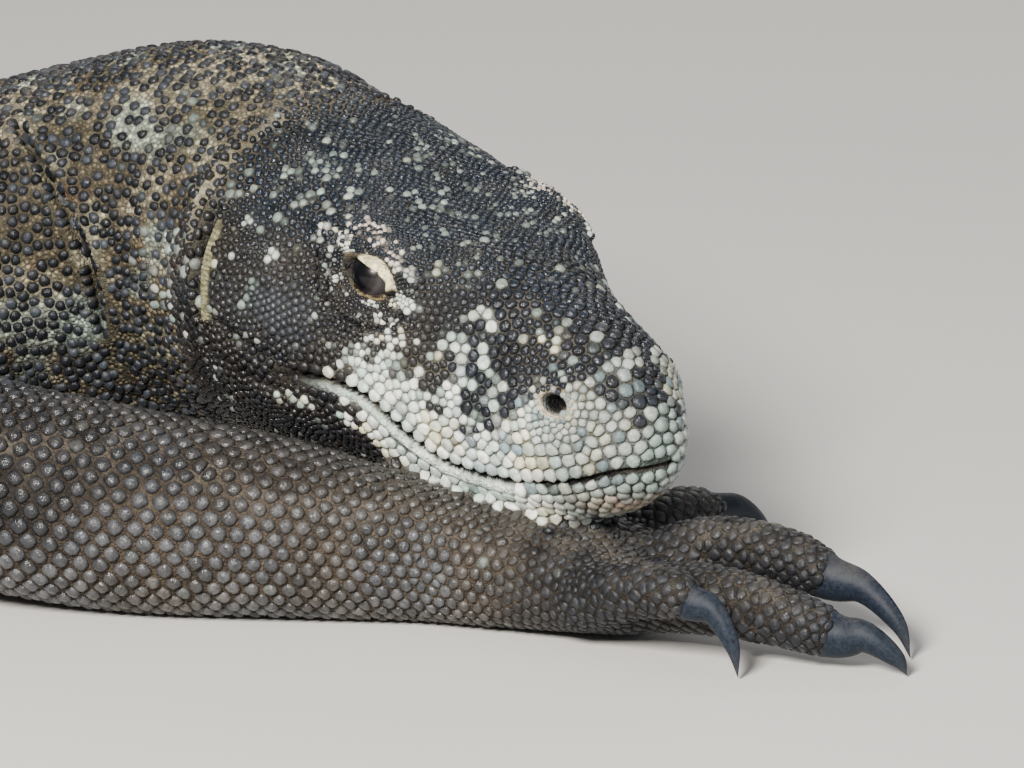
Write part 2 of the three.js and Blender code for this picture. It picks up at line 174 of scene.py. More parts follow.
# place on the middle line, half width, height above and below it, and power
SPINE = [
    (22, 116, 92, 46, 46, 58, 2.2), (-10, 159, 94, 58.5, 69, 68, 2.1), (-44, 196, 95, 61, 69, 75, 2.2),
    (-90, 220, 87, 68, 63, 74, 2.2), (-145, 230, 79, 78, 56, 74, 2.2), (-210, 234, 76, 91, 64, 79, 2.3),
    (-300, 242, 80, 108, 82, 86, 2.3), (-420, 256, 86, 126, 96, 90, 2.3), (-550, 268, 86, 134, 102, 90, 2.3),
    (-670, 272, 84, 122, 94, 88, 2.3), (-780, 270, 78, 96, 80, 82, 2.3), (-880, 262, 68, 74, 66, 72, 2.2),
    (-1000, 244, 59, 57, 60, 62, 2.1), (-1160, 214, 49, 42, 52, 51, 2), (-1340, 190, 40, 30, 43, 41, 2),
    (-1540, 195, 31, 20.5, 34, 32, 2), (-1750, 245, 22.5, 13, 25, 23.5, 2),
    (-1940, 340, 15, 8, 15.5, 15.5, 2), (-2080, 460, 7.5, 3.5, 6, 8, 2),
]
LIMBS = {
    "arm_right": [
        (-240, 190, 84, 42, 42, 44, 2), (-205, 115, 70, 42, 43, 46, 2), (-166, 74, 52, 39, 39, 36, 2),
        (-116, 54, 42, 37.5, 35, 37, 2.1), (-65, 43, 36, 36, 33, 37, 2.1), (-10, 35, 30, 31, 30, 31, 2.1),
        (36, 29, 24, 25, 22, 25, 2.2), (64, 24, 20, 28, 19, 21, 2.4)],
    "upper_arm_left": [
        (-240, 300, 82, 42, 42, 44, 2), (-265, 365, 72, 42, 43, 46, 2), (-295, 415, 58, 39, 40, 42, 2),
        (-312, 446, 50, 34, 35, 38, 2), (-322, 463, 46, 20, 21, 23, 2)],
    "forearm_left": [
        (-325, 435, 48, 32, 33, 36, 2), (-290, 456, 46, 37, 37, 40, 2), (-240, 472, 40, 35, 34, 38, 2),
        (-185, 482, 32, 30, 29, 32, 2.1), (-140, 486, 25, 25, 22, 25, 2.2)],
    "thigh_right": [
        (-810, 240, 75, 60, 54, 58, 2), (-770, 165, 72, 56, 53, 56, 2), (-725, 115, 65, 50, 49, 53, 2),
        (-695, 80, 57, 43, 44, 48, 2), (-676, 56, 51, 25, 27, 31, 2)],
    "shank_right": [
        (-685, 85, 54, 34, 36, 40, 2), (-717, 50, 49, 39, 39, 43, 2), (-762, 30, 41, 35, 34, 38, 2),
        (-806, 18, 32, 28, 27, 31, 2.1), (-840, 12, 27, 26, 23, 26, 2.2)],
    "thigh_left": [
        (-810, 300, 75, 60, 54, 58, 2), (-785, 380, 72, 56, 53, 56, 2), (-750, 435, 65, 50, 49, 53, 2),
        (-725, 472, 57, 43, 44, 48, 2), (-708, 498, 51, 25, 27, 31, 2)],
    "shank_left": [
        (-715, 467, 54, 34, 36, 40, 2), (-747, 502, 49, 39, 39, 43, 2), (-792, 524, 41, 35, 34, 38, 2),
        (-841, 537, 32, 28, 27, 31, 2.1), (-875, 545, 27, 26, 23, 26, 2.2)],
}
# the paw in its own frame: forward, towards the thumb, up
PALM = [
    (-60, 10, 24.5, 24, 21, 24.5, 2.2), (-26, 4, 20, 28, 21, 21, 2.4),
    (4, -2, 17, 33, 20, 17, 2.5), (24, -8, 14, 29, 14, 14, 2.5),
]
# digits from the thumb to the outermost: flesh as place and radius, root radius, claw as place and radius
DIGITS = [
    ([(-8, 16, 16, 10), (8, 42, 22, 10), (16, 60, 19, 8.5)], 6.5,
     [(22, 70, 18, 4.6), (26, 78, 10, 3), (28, 81, 1, 0.6)]),
    ([(4, 10, 17, 11), (28, 32, 29, 11), (44, 50, 26, 9.5)], 7,
     [(54, 60, 24, 5), (63, 67, 14, 3.2), (66, 70, 1, 0.6)]),
    ([(12, -2, 17, 12), (40, -6, 29, 12), (67, -16, 29, 11.5), (84, -26, 24, 9.5)], 8,
     [(95, -32, 22, 5.6), (106, -40, 12, 3.5), (110, -44, 1, 0.6)]),
    ([(12, -18, 15, 13), (40, -34, 19, 13.5), (64, -46, 17, 12), (84, -54, 12, 10)], 8,
     [(94, -59, 13, 5.6), (104, -63, 7, 3.5), (108, -64, 1, 0.6)]),
    ([(-4, -24, 15, 12), (16, -42, 24, 11), (30, -52, 26, 10), (36, -56, 24, 8)], 6.5,
     [(43, -60, 22, 5), (49, -65, 12, 3.3), (51, -67, 1, 0.6)]),
]
# each paw: place, yaw in degrees, side of the thumb, size
PAWS = {
    "hand_right": ((90, 20), 0, 1, 1.0), "hand_left": ((-84, 484), 4, -1, 1.0),
    "foot_right": ((-807, -44), -60, 1, 1.2), "foot_left": ((-844, 602), 62, -1, 1.2),
}
print(len(SPINE), "rows along the spine,", len(HEAD), "along the head,", len(LIMBS), "lengths of limb")

# %% [markdown]
# ## Surfaces of the flesh
# A limb or the spine is a tube: a smooth curve through its table gives the middle line and the sizes,
# and a superellipse is carried along it. The head is the same idea with a flat middle plane, then its
# swellings push the surface out along its normal. Each surface is a function of a key, which counts
# the rows, and an angle round the line, so the skin and the scales can both ask it for any point.

# %% Surfaces of the flesh
UP = np.array([0.0, 0.0, 1.0])
NUDGE = 0.02  # step, in keys or radians, that a slope is measured over


def unit(vectors):
    """Vectors divided by their own lengths."""
    return vectors / np.maximum(np.linalg.norm(vectors, axis=-1, keepdims=True), 1e-9)


def signed_power(value, power):
    """The size of a value raised to a power, with the value's own sign."""
    return np.sign(value) * np.abs(value) ** power


def smooth_rows(rows, key):
    """Uniform Catmull-Rom curve through the rows: a cubic in the part of the key between two rows."""
    rows = np.asarray(rows, float)
    padded = np.vstack([2 * rows[0] - rows[1], rows, 2 * rows[-1] - rows[-2]])
    key = np.clip(key, 0, len(rows) - 1)
    whole = np.minimum(key.astype(int), len(rows) - 2)
    t = (key - whole)[..., None]
    before, a, b, after = (padded[whole + k] for k in range(4))
    return 0.5 * (2 * a + (b - before) * t + (2 * before - 5 * a + 4 * b - after) * t ** 2
                  + (3 * a - before - 3 * b + after) * t ** 3)


def tube_surface(rows):
    """Function of key and angle: middle line + side * width * cos^(2/power) + up * height * sin^(2/power)."""
    def surface(key, angle, grow=0.0):
        key, angle = np.broadcast_arrays(np.asarray(key, float), angle)
        row = smooth_rows(rows, key)
        tangent = unit(smooth_rows(rows, key + NUDGE)[..., :3] - smooth_rows(rows, key - NUDGE)[..., :3])
        side = unit(np.cross(UP, tangent))
        up = np.cross(tangent, side)
        wide, high, low = (row[..., k:k + 1] + grow for k in (3, 4, 5))
        power = 2 / row[..., 6:7]
        cos, sin = np.cos(angle)[..., None], np.sin(angle)[..., None]
        height = np.where(sin > 0, high, low)
        across, over = side * wide * signed_power(cos, power), up * height * signed_power(sin, power)
        return row[..., :3] + across + over
    return surface


def turn_matrix(roll, pitch, yaw):
    """Rotation about Z by yaw, after Y by pitch, after X by roll."""
    cx, cy, cz = np.cos((roll, pitch, yaw))
    sx, sy, sz = np.sin((roll, pitch, yaw))
    about_x = np.array([(1, 0, 0), (0, cx, -sx), (0, sx, cx)])
    about_y = np.array([(cy, 0, sy), (0, 1, 0), (-sy, 0, cy)])
    about_z = np.array([(cz, -sz, 0), (sz, cz, 0), (0, 0, 1)])
    return about_z @ about_y @ about_x


HEAD_MATRIX = turn_matrix(*HEAD_TURN)


def from_head(points):
    """The head's own frame to the drawing."""
    return np.asarray(points) @ HEAD_MATRIX.T + HEAD_ORIGIN


def to_head(points):
    """The drawing to the head's own frame: x forward, y to the left, z up."""
    return (np.asarray(points) - HEAD_ORIGIN) @ HEAD_MATRIX


def smooth_step(value):
    """0 below 0, 1 above 1, and 3v^2 - 2v^3 between."""
    value = np.clip(value, 0, 1)
    return value * value * (3 - 2 * value)


def bell(points, centre, reach):
    """1 at the centre, falling like a bell over the reach in each direction."""
    far = (points - np.asarray(centre, float)) / reach
    return np.exp(-(far ** 2).sum(-1))


def plain_head(key, angle):
    """Half superellipses above and below the head's widest line, at its own width and heights."""
    row = smooth_rows(HEAD, key)
    x, wide, top, bottom, middle, above, below = (row[..., k] for k in range(7))
    cos, sin = np.cos(angle), np.sin(angle)
    power = 2 / np.where(sin > 0, above, below)
    rise = np.where(sin > 0, top - middle, middle - bottom) * signed_power(sin, power)
    return np.stack([x, wide * signed_power(cos, power), middle + rise], -1)


def head_surface(key, angle, grow=0.0):
    """The plain head pushed out along its normal by grow and by each swelling's bell."""
    key, angle = np.broadcast_arrays(np.asarray(key, float), angle)
    point = plain_head(key, angle)
    along = plain_head(key + NUDGE, angle) - plain_head(key - NUDGE, angle)
    around = plain_head(key, angle + NUDGE) - plain_head(key, angle - NUDGE)
    normal = -unit(np.cross(around, along))
    mirrored = np.abs(point[..., 1:2]) * (0, 1, 0) + point * (1, 0, 1)
    out = grow + sum(amount * bell(mirrored, centre, reach) for amount, centre, reach in HEAD_FORMS.values())
    return from_head(point + normal * out[..., None])


def paw_rows(rows, paw):
    """Rows of the paw's own frame scaled, turned and set down at its place."""
    (x, y), yaw, thumb, size = PAWS[paw]
    rows = np.array(rows, float)
    rows[:, :6] *= size
    rows[:, 1] *= thumb
    cos, sin = np.cos(np.radians(yaw)), np.sin(np.radians(yaw))
    forward, aside = rows[:, 0].copy(), rows[:, 1].copy()
    rows[:, 0] = x + forward * cos - aside * sin
    rows[:, 1] = y + forward * sin + aside * cos
    return rows


def round_rows(rows, narrow=1.0):
    """Place and radius to a full row: a circle across the line, narrower for a claw."""
    return [(x, y, z, radius * narrow, radius, radius, 2) for x, y, z, radius in rows]


FLESH = {"head": (head_surface, len(HEAD) - 1), "spine": (tube_surface(SPINE), len(SPINE) - 1)}
for limb, limb_rows in LIMBS.items():
    FLESH[limb] = (tube_surface(limb_rows), len(limb_rows) - 1)
for paw_name in PAWS:
    FLESH[paw_name] = (tube_surface(paw_rows(PALM, paw_name)), len(PALM) - 1)
    for number, (flesh_rows, _, _) in enumerate(DIGITS, 1):
        digit_rows = paw_rows(round_rows(flesh_rows), paw_name)
        FLESH[f"{paw_name}_{number}"] = (tube_surface(digit_rows), len(digit_rows) - 1)
print(len(FLESH), "surfaces of flesh")

# %% [markdown]
# ## One skin round all the flesh
# On the animal one hide covers everything, and a limb grows out of the trunk in a soft hollow.
# We close each surface into a shell, lay the shells into one mesh and let a voxel remesh melt them
# together. Rounds of smoothing then fill the hollows where a limb meets the trunk.
# The skin lies inside the solids by the height of the scales that will stand on it.

# %% Closed shells and the melted skin
SCALE_DEPTH = {"head": 1.0}  # how far the skin lies inside the solids, in millimetres
BODY_DEPTH = 1.4
VOXEL = 3.0  # size of the remesh's cells
FLOOR_LIFT = 1.2  # lowest height of the skin over the floor
FLOOR_GAP = 0.15  # the same for the scales and the claws


def grid_faces(rings, around):
    """Quads between neighbouring rings of a closed grid, turned to face outwards."""
    i, j = np.meshgrid(np.arange(rings - 1), np.arange(around), indexing="ij")
    k = (j + 1) % around
    quads = np.stack([i * around + j, i * around + k, (i + 1) * around + k, (i + 1) * around + j], -1)
    return quads.reshape(-1, 4)


def end_fans(rings, around):
    """Triangles from a grid's first and last rings to the two points that are listed after the grid."""
    j = np.arange(around)
    k = (j + 1) % around
    last_ring = (rings - 1) * around
    return np.vstack([np.stack([np.full(around, rings * around), k, j], -1),
                      np.stack([np.full(around, rings * around + 1), last_ring + j, last_ring + k], -1)])


def new_mesh(name, points, faces):
    """A mesh from points in millimetres of the drawing and faces of one size or of several."""
    mesh = bpy.data.meshes.new(name)
    mesh.vertices.add(len(points))
    mesh.vertices.foreach_set("co", placed(points).astype(np.float32).ravel())
    groups = faces if isinstance(faces, list) else [faces]
    sizes = np.concatenate([np.full(len(group), group.shape[1]) for group in groups])
    corners = np.concatenate([group.ravel() for group in groups])
    mesh.loops.add(len(corners))
    mesh.loops.foreach_set("vertex_index", corners.astype(np.int32))
    mesh.polygons.add(len(sizes))
    mesh.polygons.foreach_set("loop_start", (np.cumsum(sizes) - sizes).astype(np.int32))
    mesh.polygons.foreach_set("loop_total", sizes.astype(np.int32))
    mesh.update(calc_edges=True)
    return mesh


def new_object(name, mesh):
    """An object at the origin that holds a mesh."""
    thing = bpy.data.objects.new(name, mesh)
    bpy.context.collection.objects.link(thing)
    return thing


def shell(surface, last, grow, per_key=8, around=72):
    """Points and faces of a closed surface: rings along the keys, each end closed by a fan."""
    keys = np.linspace(0, last, last * per_key + 1)
    angles = np.linspace(0, 2 * np.pi, around, endpoint=False)
    rings = surface(keys[:, None], angles[None, :], grow)
    points = np.vstack([rings.reshape(-1, 3), rings[0].mean(0), rings[-1].mean(0)])
    return points, grid_faces(len(keys), around), end_fans(len(keys), around)


def evaluated(thing):
    """The mesh of an object with its modifiers worked in, as a new mesh."""
    graph = bpy.context.evaluated_depsgraph_get()
    return bpy.data.meshes.new_from_object(thing.evaluated_get(graph))


def mesh_points(mesh):
    """The vertices of a mesh, back in millimetres of the drawing."""
    flat = np.empty(len(mesh.vertices) * 3, np.float32)
    mesh.vertices.foreach_get("co", flat)
    return flat.reshape(-1, 3) / MM + PLAN_MIDDLE


def set_points(mesh, points):
    """Put changed points back into a mesh."""
    mesh.vertices.foreach_set("co", placed(points).astype(np.float32).ravel())
    mesh.update()


def smooth_shaded(mesh):
    """Smooth shading on every face of a mesh."""
    mesh.polygons.foreach_set("use_smooth", np.ones(len(mesh.polygons), bool))


def mesh_edges(mesh):
    """Pairs of vertex numbers, one for each edge."""
    flat = np.empty(len(mesh.edges) * 2, np.int32)
    mesh.edges.foreach_get("vertices", flat)
    return flat.reshape(-1, 2)


def mesh_normals(mesh):
    """The normal at each vertex."""
    flat = np.empty(len(mesh.vertices) * 3, np.float32)
    mesh.vertex_normals.foreach_get("vector", flat)
    return flat.reshape(-1, 3).astype(float)


def relaxed(points, edges, amount, rounds):
    """Each round moves every point towards the mean of its neighbours by its own amount."""
    ends = np.concatenate([edges[:, 0], edges[:, 1]])
    others = np.concatenate([edges[:, 1], edges[:, 0]])
    count = np.maximum(np.bincount(ends, minlength=len(points)), 1)[:, None]
    for _ in range(rounds):
        total = np.stack([np.bincount(ends, points[others, k], len(points)) for k in range(3)], -1)
        points = points + amount[:, None] * (total / count - points)
    return points


all_points, all_quads, all_fans, count = [], [], [], 0
for flesh_name, (surface, last) in FLESH.items():
    depth = SCALE_DEPTH.get(flesh_name, BODY_DEPTH)
    points, quads, fans = shell(surface, last, -depth)
    all_points.append(points)
    all_quads.append(quads + count)
    all_fans.append(fans + count)
    count += len(points)
shells = new_object("shells", new_mesh("shells", np.vstack(all_points),
                                       [np.vstack(all_quads), np.vstack(all_fans)]))
bm = bmesh.new()
bm.from_mesh(shells.data)
print("volume of the shells", bm.calc_volume(signed=True))
bm.free()
remesh = shells.modifiers.new("melt", "REMESH")
remesh.mode = "VOXEL"
remesh.voxel_size = VOXEL * MM
melted = evaluated(shells)
print("melted skin:", len(melted.vertices), "vertices")

# %% [markdown]
# The melted skin still has a sharp valley wherever two shells crossed. Smoothing is strongest there,
# so the shoulders and hips flow into the trunk, and light on the face and the toes, which keep their
# shape. The trunk and the tail then need far fewer points than the face, so a Decimate modifier
# thins them, by a vertex group.

# %% Smooth and thin the skin
# where a limb grows from the trunk, or the head from the neck: place, reach
JOINS = [
    ((-205, 130, 75), 62), ((-262, 352, 70), 62), ((-770, 170, 72), 66), ((-785, 370, 72), 66),
    ((-10, 165, 60), 40), ((-690, 70, 50), 30), ((-715, 485, 50), 30), ((-322, 450, 46), 30),
]
SOFT_ROUNDS = 90  # rounds of smoothing at the joins
LIGHT_ROUNDS = 3  # rounds of smoothing everywhere
THINNED = 0.25  # share of the skin's faces that the Decimate modifier keeps
FACE_MIDDLE = from_head([(150, 0, 0)])
FACE_NEAR, FACE_FAR = 250.0, 420.0  # the skin stays fine within the first distance of that point


def near_any(points, places):
    """The largest of the bells round a list of places and reaches."""
    return np.max([bell(points, centre, reach) for centre, reach in places], axis=0)


points, edges = mesh_points(melted), mesh_edges(melted)
points = relaxed(points, edges, np.full(len(points), 0.5), LIGHT_ROUNDS)
points = relaxed(points, edges, 0.6 * near_any(points, JOINS), SOFT_ROUNDS)
set_points(melted, points)
shells.modifiers.clear()
shells.data = melted
from_face = np.linalg.norm(points - FACE_MIDDLE, axis=1)
thin = np.round(np.clip((from_face - FACE_NEAR) / (FACE_FAR - FACE_NEAR), 0, 1), 1)
group = shells.vertex_groups.new(name="thin")
for level in np.unique(thin):
    if level > 0:
        group.add(np.flatnonzero(thin == level).tolist(), float(level), "REPLACE")
decimate = shells.modifiers.new("thin", "DECIMATE")
decimate.ratio = THINNED
decimate.vertex_group = "thin"
decimate.vertex_group_factor = 10.0
thinned = evaluated(shells)
shells.modifiers.clear()
print("thinned skin:", len(thinned.vertices), "vertices", len(thinned.polygons), "faces")
near = np.linalg.norm(mesh_points(thinned) - FACE_MIDDLE, axis=1) < FACE_NEAR
print("of them near the face", near.sum(), "before", (from_face < FACE_NEAR).sum())

# %% [markdown]
# The lids, the nostril, the line of the lips and the ear need points closer together than the rest
# of the skin, so the faces near them are divided once, twice or three times, and smoothed again.

# %% Divide the skin where the face has detail
EYE = {"centre": (80.0, 36.0, 38.0), "radius": 8.9}
NOSTRIL = {"centre": (168, 26, 18), "half": (4.6, 2.9), "tilt": np.radians(-14)}
NOSTRIL_REACH = 12  # how far to the side the pit of a nostril can reach
EAR_SLIT = [(7, 54, 41), (8, 59, 32), (9.5, 62.8, 22), (13.5, 65, 9)]
# places on the head's own frame (the other side is mirrored) and the reach that is divided there
DIVISIONS = [
    [((96, 40, 22), 45), ((160, 22, 4), 48), ((11, 60, 24), 26), ((-90, 66, 34), 14), ((-78, 68, 24), 14),
     ((-67, 69, 14), 14), ((-58, 67, 0), 14), ((-53, 64, -13), 14)],
    [((82, 42, 37), 22), ((168, 26, 18), 10), ((10, 61, 25), 13),
     *((tuple(row), 5.5) for row in smooth_rows(MOUTH, np.arange(0, 11.6, 0.5)).tolist())],
    [((81, 42, 38.5), 15), ((168, 26, 18), 6.5)],
]


def mirrored(points):
    """Points of the head's own frame with the right side folded onto the left."""
    folded = points.copy()
    folded[..., 1] = np.abs(folded[..., 1])
    return folded


def within_any(local, zones, share=1.0):
    """True for points that lie nearer to some zone's centre than a share of its reach."""
    distances = [np.linalg.norm(local - centre, axis=1) / reach for centre, reach in zones]
    return np.min(distances, axis=0) < share


def divide(mesh, zones):
    """Cut every face whose middle lies within a zone into four, then smooth only those points."""
    middles = np.empty(len(mesh.polygons) * 3, np.float32)
    mesh.polygons.foreach_get("center", middles)
    local = mirrored(to_head(middles.reshape(-1, 3) / MM + PLAN_MIDDLE))
    chosen = within_any(local, zones)
    bm = bmesh.new()
    bm.from_mesh(mesh)
    bm.faces.ensure_lookup_table()
    chosen_edges = {edge for number in np.flatnonzero(chosen) for edge in bm.faces[number].edges}
    bmesh.ops.subdivide_edges(bm, edges=list(chosen_edges), cuts=1, use_grid_fill=True)
    bm.to_mesh(mesh)
    bm.free()
    points = mesh_points(mesh)
    inside = within_any(mirrored(to_head(points)), zones, 0.97)
    set_points(mesh, relaxed(points, mesh_edges(mesh), 0.5 * inside, 3))
    return int(inside.sum())


skin_mesh = thinned
for zones in DIVISIONS:
    print("points in divided zones:", divide(skin_mesh, zones))
print("skin:", len(skin_mesh.vertices), "vertices,", len(skin_mesh.polygons), "faces")

# %% [markdown]
# ## Lids, nostrils, lips, ears and folds
# Each of these is a rule for how far a point of the skin moves along its normal. A groove follows a
# path: deepest on the path, with a low welt on each side. An eye opens where an ellipse on the face of
# the eyeball is cut back behind it, and the lids are laid on the eyeball round that opening.

# %% Grooves and folds
# path in the head's frame, half width, depth, height of the welt beside it
HEAD_GROOVES = {
    "ear": (EAR_SLIT, 2.1, 8.5, 1.5),
    "bulge": ([(-1, 20, 65), (-3, 40, 54.5), (-2.5, 52, 42), (1, 59, 30)], 2.2, 3.6, 1.2),
    "bulge_rear": ([(-8, 24, 65), (-10, 42, 54), (-10, 54, 42)], 2.0, 1.5, 0.6),
    "rictus": ([(60, 57, 0), (48, 60, 3), (30, 64.5, 7), (21, 67, 10)], 1.9, 1.5, 0.6),
    "cheek": ([(56, 57, -9), (34, 63, -8), (18, 65, -4)], 2.2, 1.3, 0.5),
    "brow": ([(54, 42, 51), (67, 46, 51), (80, 46.5, 51), (93, 43, 49), (104, 38.5, 45)], 2.3, -3.2, -1.0),
    "front_corner": ([(93, 42, 37), (98, 40.5, 37.5), (105, 38.5, 38)], 1.4, 2.2, 0.4),
    "eye_bag": ([(60, 48, 42), (66, 50, 31), (78, 49, 24), (92, 46, 24), (102, 41, 31)], 1.2, 1.8, 0.9),
    "under_eye": ([(65, 48, 36), (71, 49, 29.5), (80, 48.5, 27), (90, 45.5, 28), (97, 42, 33)],
                  0.8, 0.9, 0.4),
    "brow_rear": ([(62, 41, 51), (66, 45, 45), (66, 48, 37), (70, 49.5, 29)], 1.7, 1.2, 0.5),
}
# the same in the drawing's frame, on one side or the other
BODY_GROOVES = {
    "neck_right": ([(-112, 184, 138), (-97, 161, 119), (-88, 152.5, 101), (-84, 150, 89), (-81, 151, 70)],
                   2.0, 6.0, 1.6),
    "neck_right_rear": ([(-150, 176, 122), (-141, 160, 104), (-136, 153, 84), (-132, 156, 62)],
                        2.6, 3.6, 1.5),
    "neck_right_front": ([(-62, 156, 140), (-60, 143, 122), (-60, 138, 104)], 2.6, 1.4, 0.8),
    "neck_left": ([(-70, 285, 128), (-78, 291, 108), (-80, 290, 84), (-76, 284, 62)], 3.0, 3.6, 1.3),
    "neck_left_rear": ([(-130, 300, 120), (-137, 308, 98), (-138, 308, 74), (-132, 303, 55)], 3.4, 3.0, 1.3),
}
# soft rolls of loose hide, as waves across the body: place, reach, direction, wave length, height
ROLLS = [
    ((-100, 150, 60), (80, 50, 45), (0.75, 0.1, -0.65), 17.0, 1.3),
    ((-190, 300, 60), (90, 60, 45), (0.85, 0.1, -0.5), 22.0, 1.6),
    ((-330, 135, 70), (110, 60, 60), (0.8, 0.0, 0.6), 30.0, 2.2),
    ((-330, 350, 70), (110, 60, 60), (0.8, 0.0, 0.6), 30.0, 2.2),
    ((-520, 140, 50), (150, 70, 50), (0.25, 0.0, 0.97), 27.0, 2.2),
    ((-520, 400, 50), (150, 70, 50), (0.25, 0.0, 0.97), 27.0, 2.2),
    ((-690, 165, 80), (70, 60, 50), (0.9, 0.2, 0.3), 24.0, 1.8),
    ((-690, 375, 80), (70, 60, 50), (0.9, -0.2, 0.3), 24.0, 1.8),
    ((-165, 62, 40), (30, 45, 45), (0.75, -0.5, 0.35), 13.0, 1.4),
    ((40, 34, 30), (22, 30, 22), (1.0, 0.0, 0.1), 8.5, 0.8),
]


def path_distance(points, path):
    """Distance from each point to a bent line: the least of the distances to its straight pieces."""
    path = np.asarray(path, float)
    best = np.full(len(points), np.inf)
    for start, end in zip(path[:-1], path[1:]):
        along = end - start
        share = np.clip(((points - start) @ along) / (along @ along), 0, 1)
        best = np.minimum(best, np.linalg.norm(points - start - share[:, None] * along, axis=1))
    return best


def finer(path, times=3):
    """A path with more points, on a smooth curve through its own."""
    keys = np.linspace(0, len(path) - 1, times * (len(path) - 1) + 1)
    return smooth_rows(path, keys)


def groove(points, path, half_width, depth, welt):
    """Height along the normal: minus depth times a bell on the path, plus a welt beside it."""
    far = path_distance(points, finer(path)) / half_width
    return welt * np.exp(-((far - 2.0) / 0.8) ** 2) - depth * np.exp(-far ** 2)


RIM_END = 146  # the smooth rim of the lower lip ends here; plates cover it further forward


def above_lips(local):
    """Height over the line of the lips, measured across that line."""
    line = smooth_rows([(row[0], row[2]) for row in MOUTH], np.linspace(0, len(MOUTH) - 1, 80))[::-1]
    height = np.interp(local[:, 0], line[:, 0], line[:, 1])
    slope = np.interp(local[:, 0], line[1:, 0], np.diff(line[:, 1]) / np.diff(line[:, 0]))
    return (local[:, 2] - height) / np.hypot(1, slope)


def fold_heights(points):
    """Height of all the grooves and rolls at points of the drawing."""
    local = mirrored(to_head(points))
    height = sum(groove(local, *values) for values in HEAD_GROOVES.values())
    over = above_lips(local)
    front = smooth_step((local[:, 0] - RIM_END) / 12)
    rear = smooth_step((local[:, 0] - 70) / 40)
    rim = (0.8 + 1.2 * rear) * np.exp(-((over + 2.6 + 0.8 * rear) / (1.4 + 0.9 * rear)) ** 2)
    lips = rim * (1 - front) - 2.5 * np.exp(-(over / (0.95 - 0.3 * front)) ** 2)
    height = height + lips * smooth_step((local[:, 0] - 42) / 14)
    height = height + sum(groove(points, *values) for values in BODY_GROOVES.values())
    for centre, reach, direction, wave, amount in ROLLS:
        phase = 2 * np.pi * ((points - centre) @ unit(np.array(direction))) / wave
        height += amount * bell(points, centre, reach) * (np.abs(np.sin(phase / 2)) - 0.6)
    return height


# %% Eye openings, lids and nostrils
EYE_OUT = unit(np.array([0.12, 0.965, 0.2]))  # the way the eye looks
EYE_LONG = np.array([0.98, 0.0, -0.2])  # from its rear corner to its front corner
EYE_LONG = unit(EYE_LONG - (EYE_LONG @ EYE_OUT) * EYE_OUT)
EYE_ACROSS = np.cross(EYE_OUT, EYE_LONG)  # towards the brow, once its sign is fixed
EYE_ACROSS = EYE_ACROSS * np.sign(EYE_ACROSS[2])
OPENING = {"long": 11.3, "over": 4.6, "under": 6.1}
# the lid under the eye, over its rear and over its front: width of the roll, its thickness
LIDS = {"under": (1.3, 0.8), "rear": (1.9, 1.2), "front": (5.0, 2.1)}
LID_LEAST = 5.6  # how far out of the eye's centre the lids stay at its corners
LID_GAP = 0.3  # between the eyeball and a lid
EYE_FRONT = -2  # only skin further out of the eye's centre than this is part of the lids
LID_BLEND = 4.5  # width, beyond the roll, over which the lid sinks into the face


def eye_place(local):
    """Along, across and out of the eye from its centre, and the share of the way to the opening's rim."""
    offset = mirrored(local) - EYE["centre"]
    along, across, out = offset @ EYE_LONG, offset @ EYE_ACROSS, offset @ EYE_OUT
    half = np.where(across > 0, OPENING["over"], OPENING["under"])
    ratio = np.sqrt((along / OPENING["long"]) ** 2 + (across / half) ** 2)
    margin = (ratio - 1) * np.hypot(along, across) / np.maximum(ratio, 0.05)
    return along, across, out, ratio, margin


def lid_width(along, across):
    """Width and thickness of the roll of the lid: narrow below, wide over the front of the eye."""
    upper = smooth_step(across / 2.4 + 0.5)
    front = smooth_step(along / 14 + 0.45)
    sizes = []
    for under, rear, forward in zip(LIDS["under"], LIDS["rear"], LIDS["front"]):
        over = rear * (1 - front) + forward * front
        sizes.append(under * (1 - upper) + upper * over)
    return sizes


def own_side(local):
    """Factors that carry a move on the left of the head over to the side each point is on."""
    return np.sign(local[..., 1])[..., None] * (0, 1, 0) + np.array([1, 0, 1])


def lidded(local):
    """Points near an eye, moved so that the lids lie on the eyeball and the opening is cut back."""
    along, across, out, ratio, margin = eye_place(local)
    width, thick = lid_width(along, across)
    thick = thick * (0.8 + 0.35 * np.sin(1.1 * along))
    near = (out > EYE_FRONT) & (margin < width + LID_BLEND)
    ball = np.sqrt(np.maximum((EYE["radius"] + LID_GAP) ** 2 - along ** 2 - across ** 2, LID_LEAST ** 2))
    roll = np.sqrt(np.clip(1 - (2 * margin / width - 1) ** 2, 0, 1))
    crease = np.exp(-((margin - width) / 0.5) ** 2)
    blend = smooth_step((margin - width) / LID_BLEND)
    lid = (ball + 0.35 + thick * roll) * (1 - blend) + out * blend - 0.7 * crease
    target = np.where(ratio < 0.97, ball - 3.0, lid)
    shift = np.where(near, target - out, 0)
    return local + shift[..., None] * EYE_OUT * own_side(local)


def snapped(local):
    """Points a little inside or outside the rim of the opening slide along the eye's face onto it."""
    along, across, out, ratio, _ = eye_place(local)
    near = (out > EYE_FRONT) & (ratio > 0.86) & (ratio < 1.07)
    factor = np.where(near, 1.0 / np.maximum(ratio, 0.1) - 1, 0)
    slide = (along * factor)[..., None] * EYE_LONG + (across * factor)[..., None] * EYE_ACROSS
    return local + slide * own_side(local)


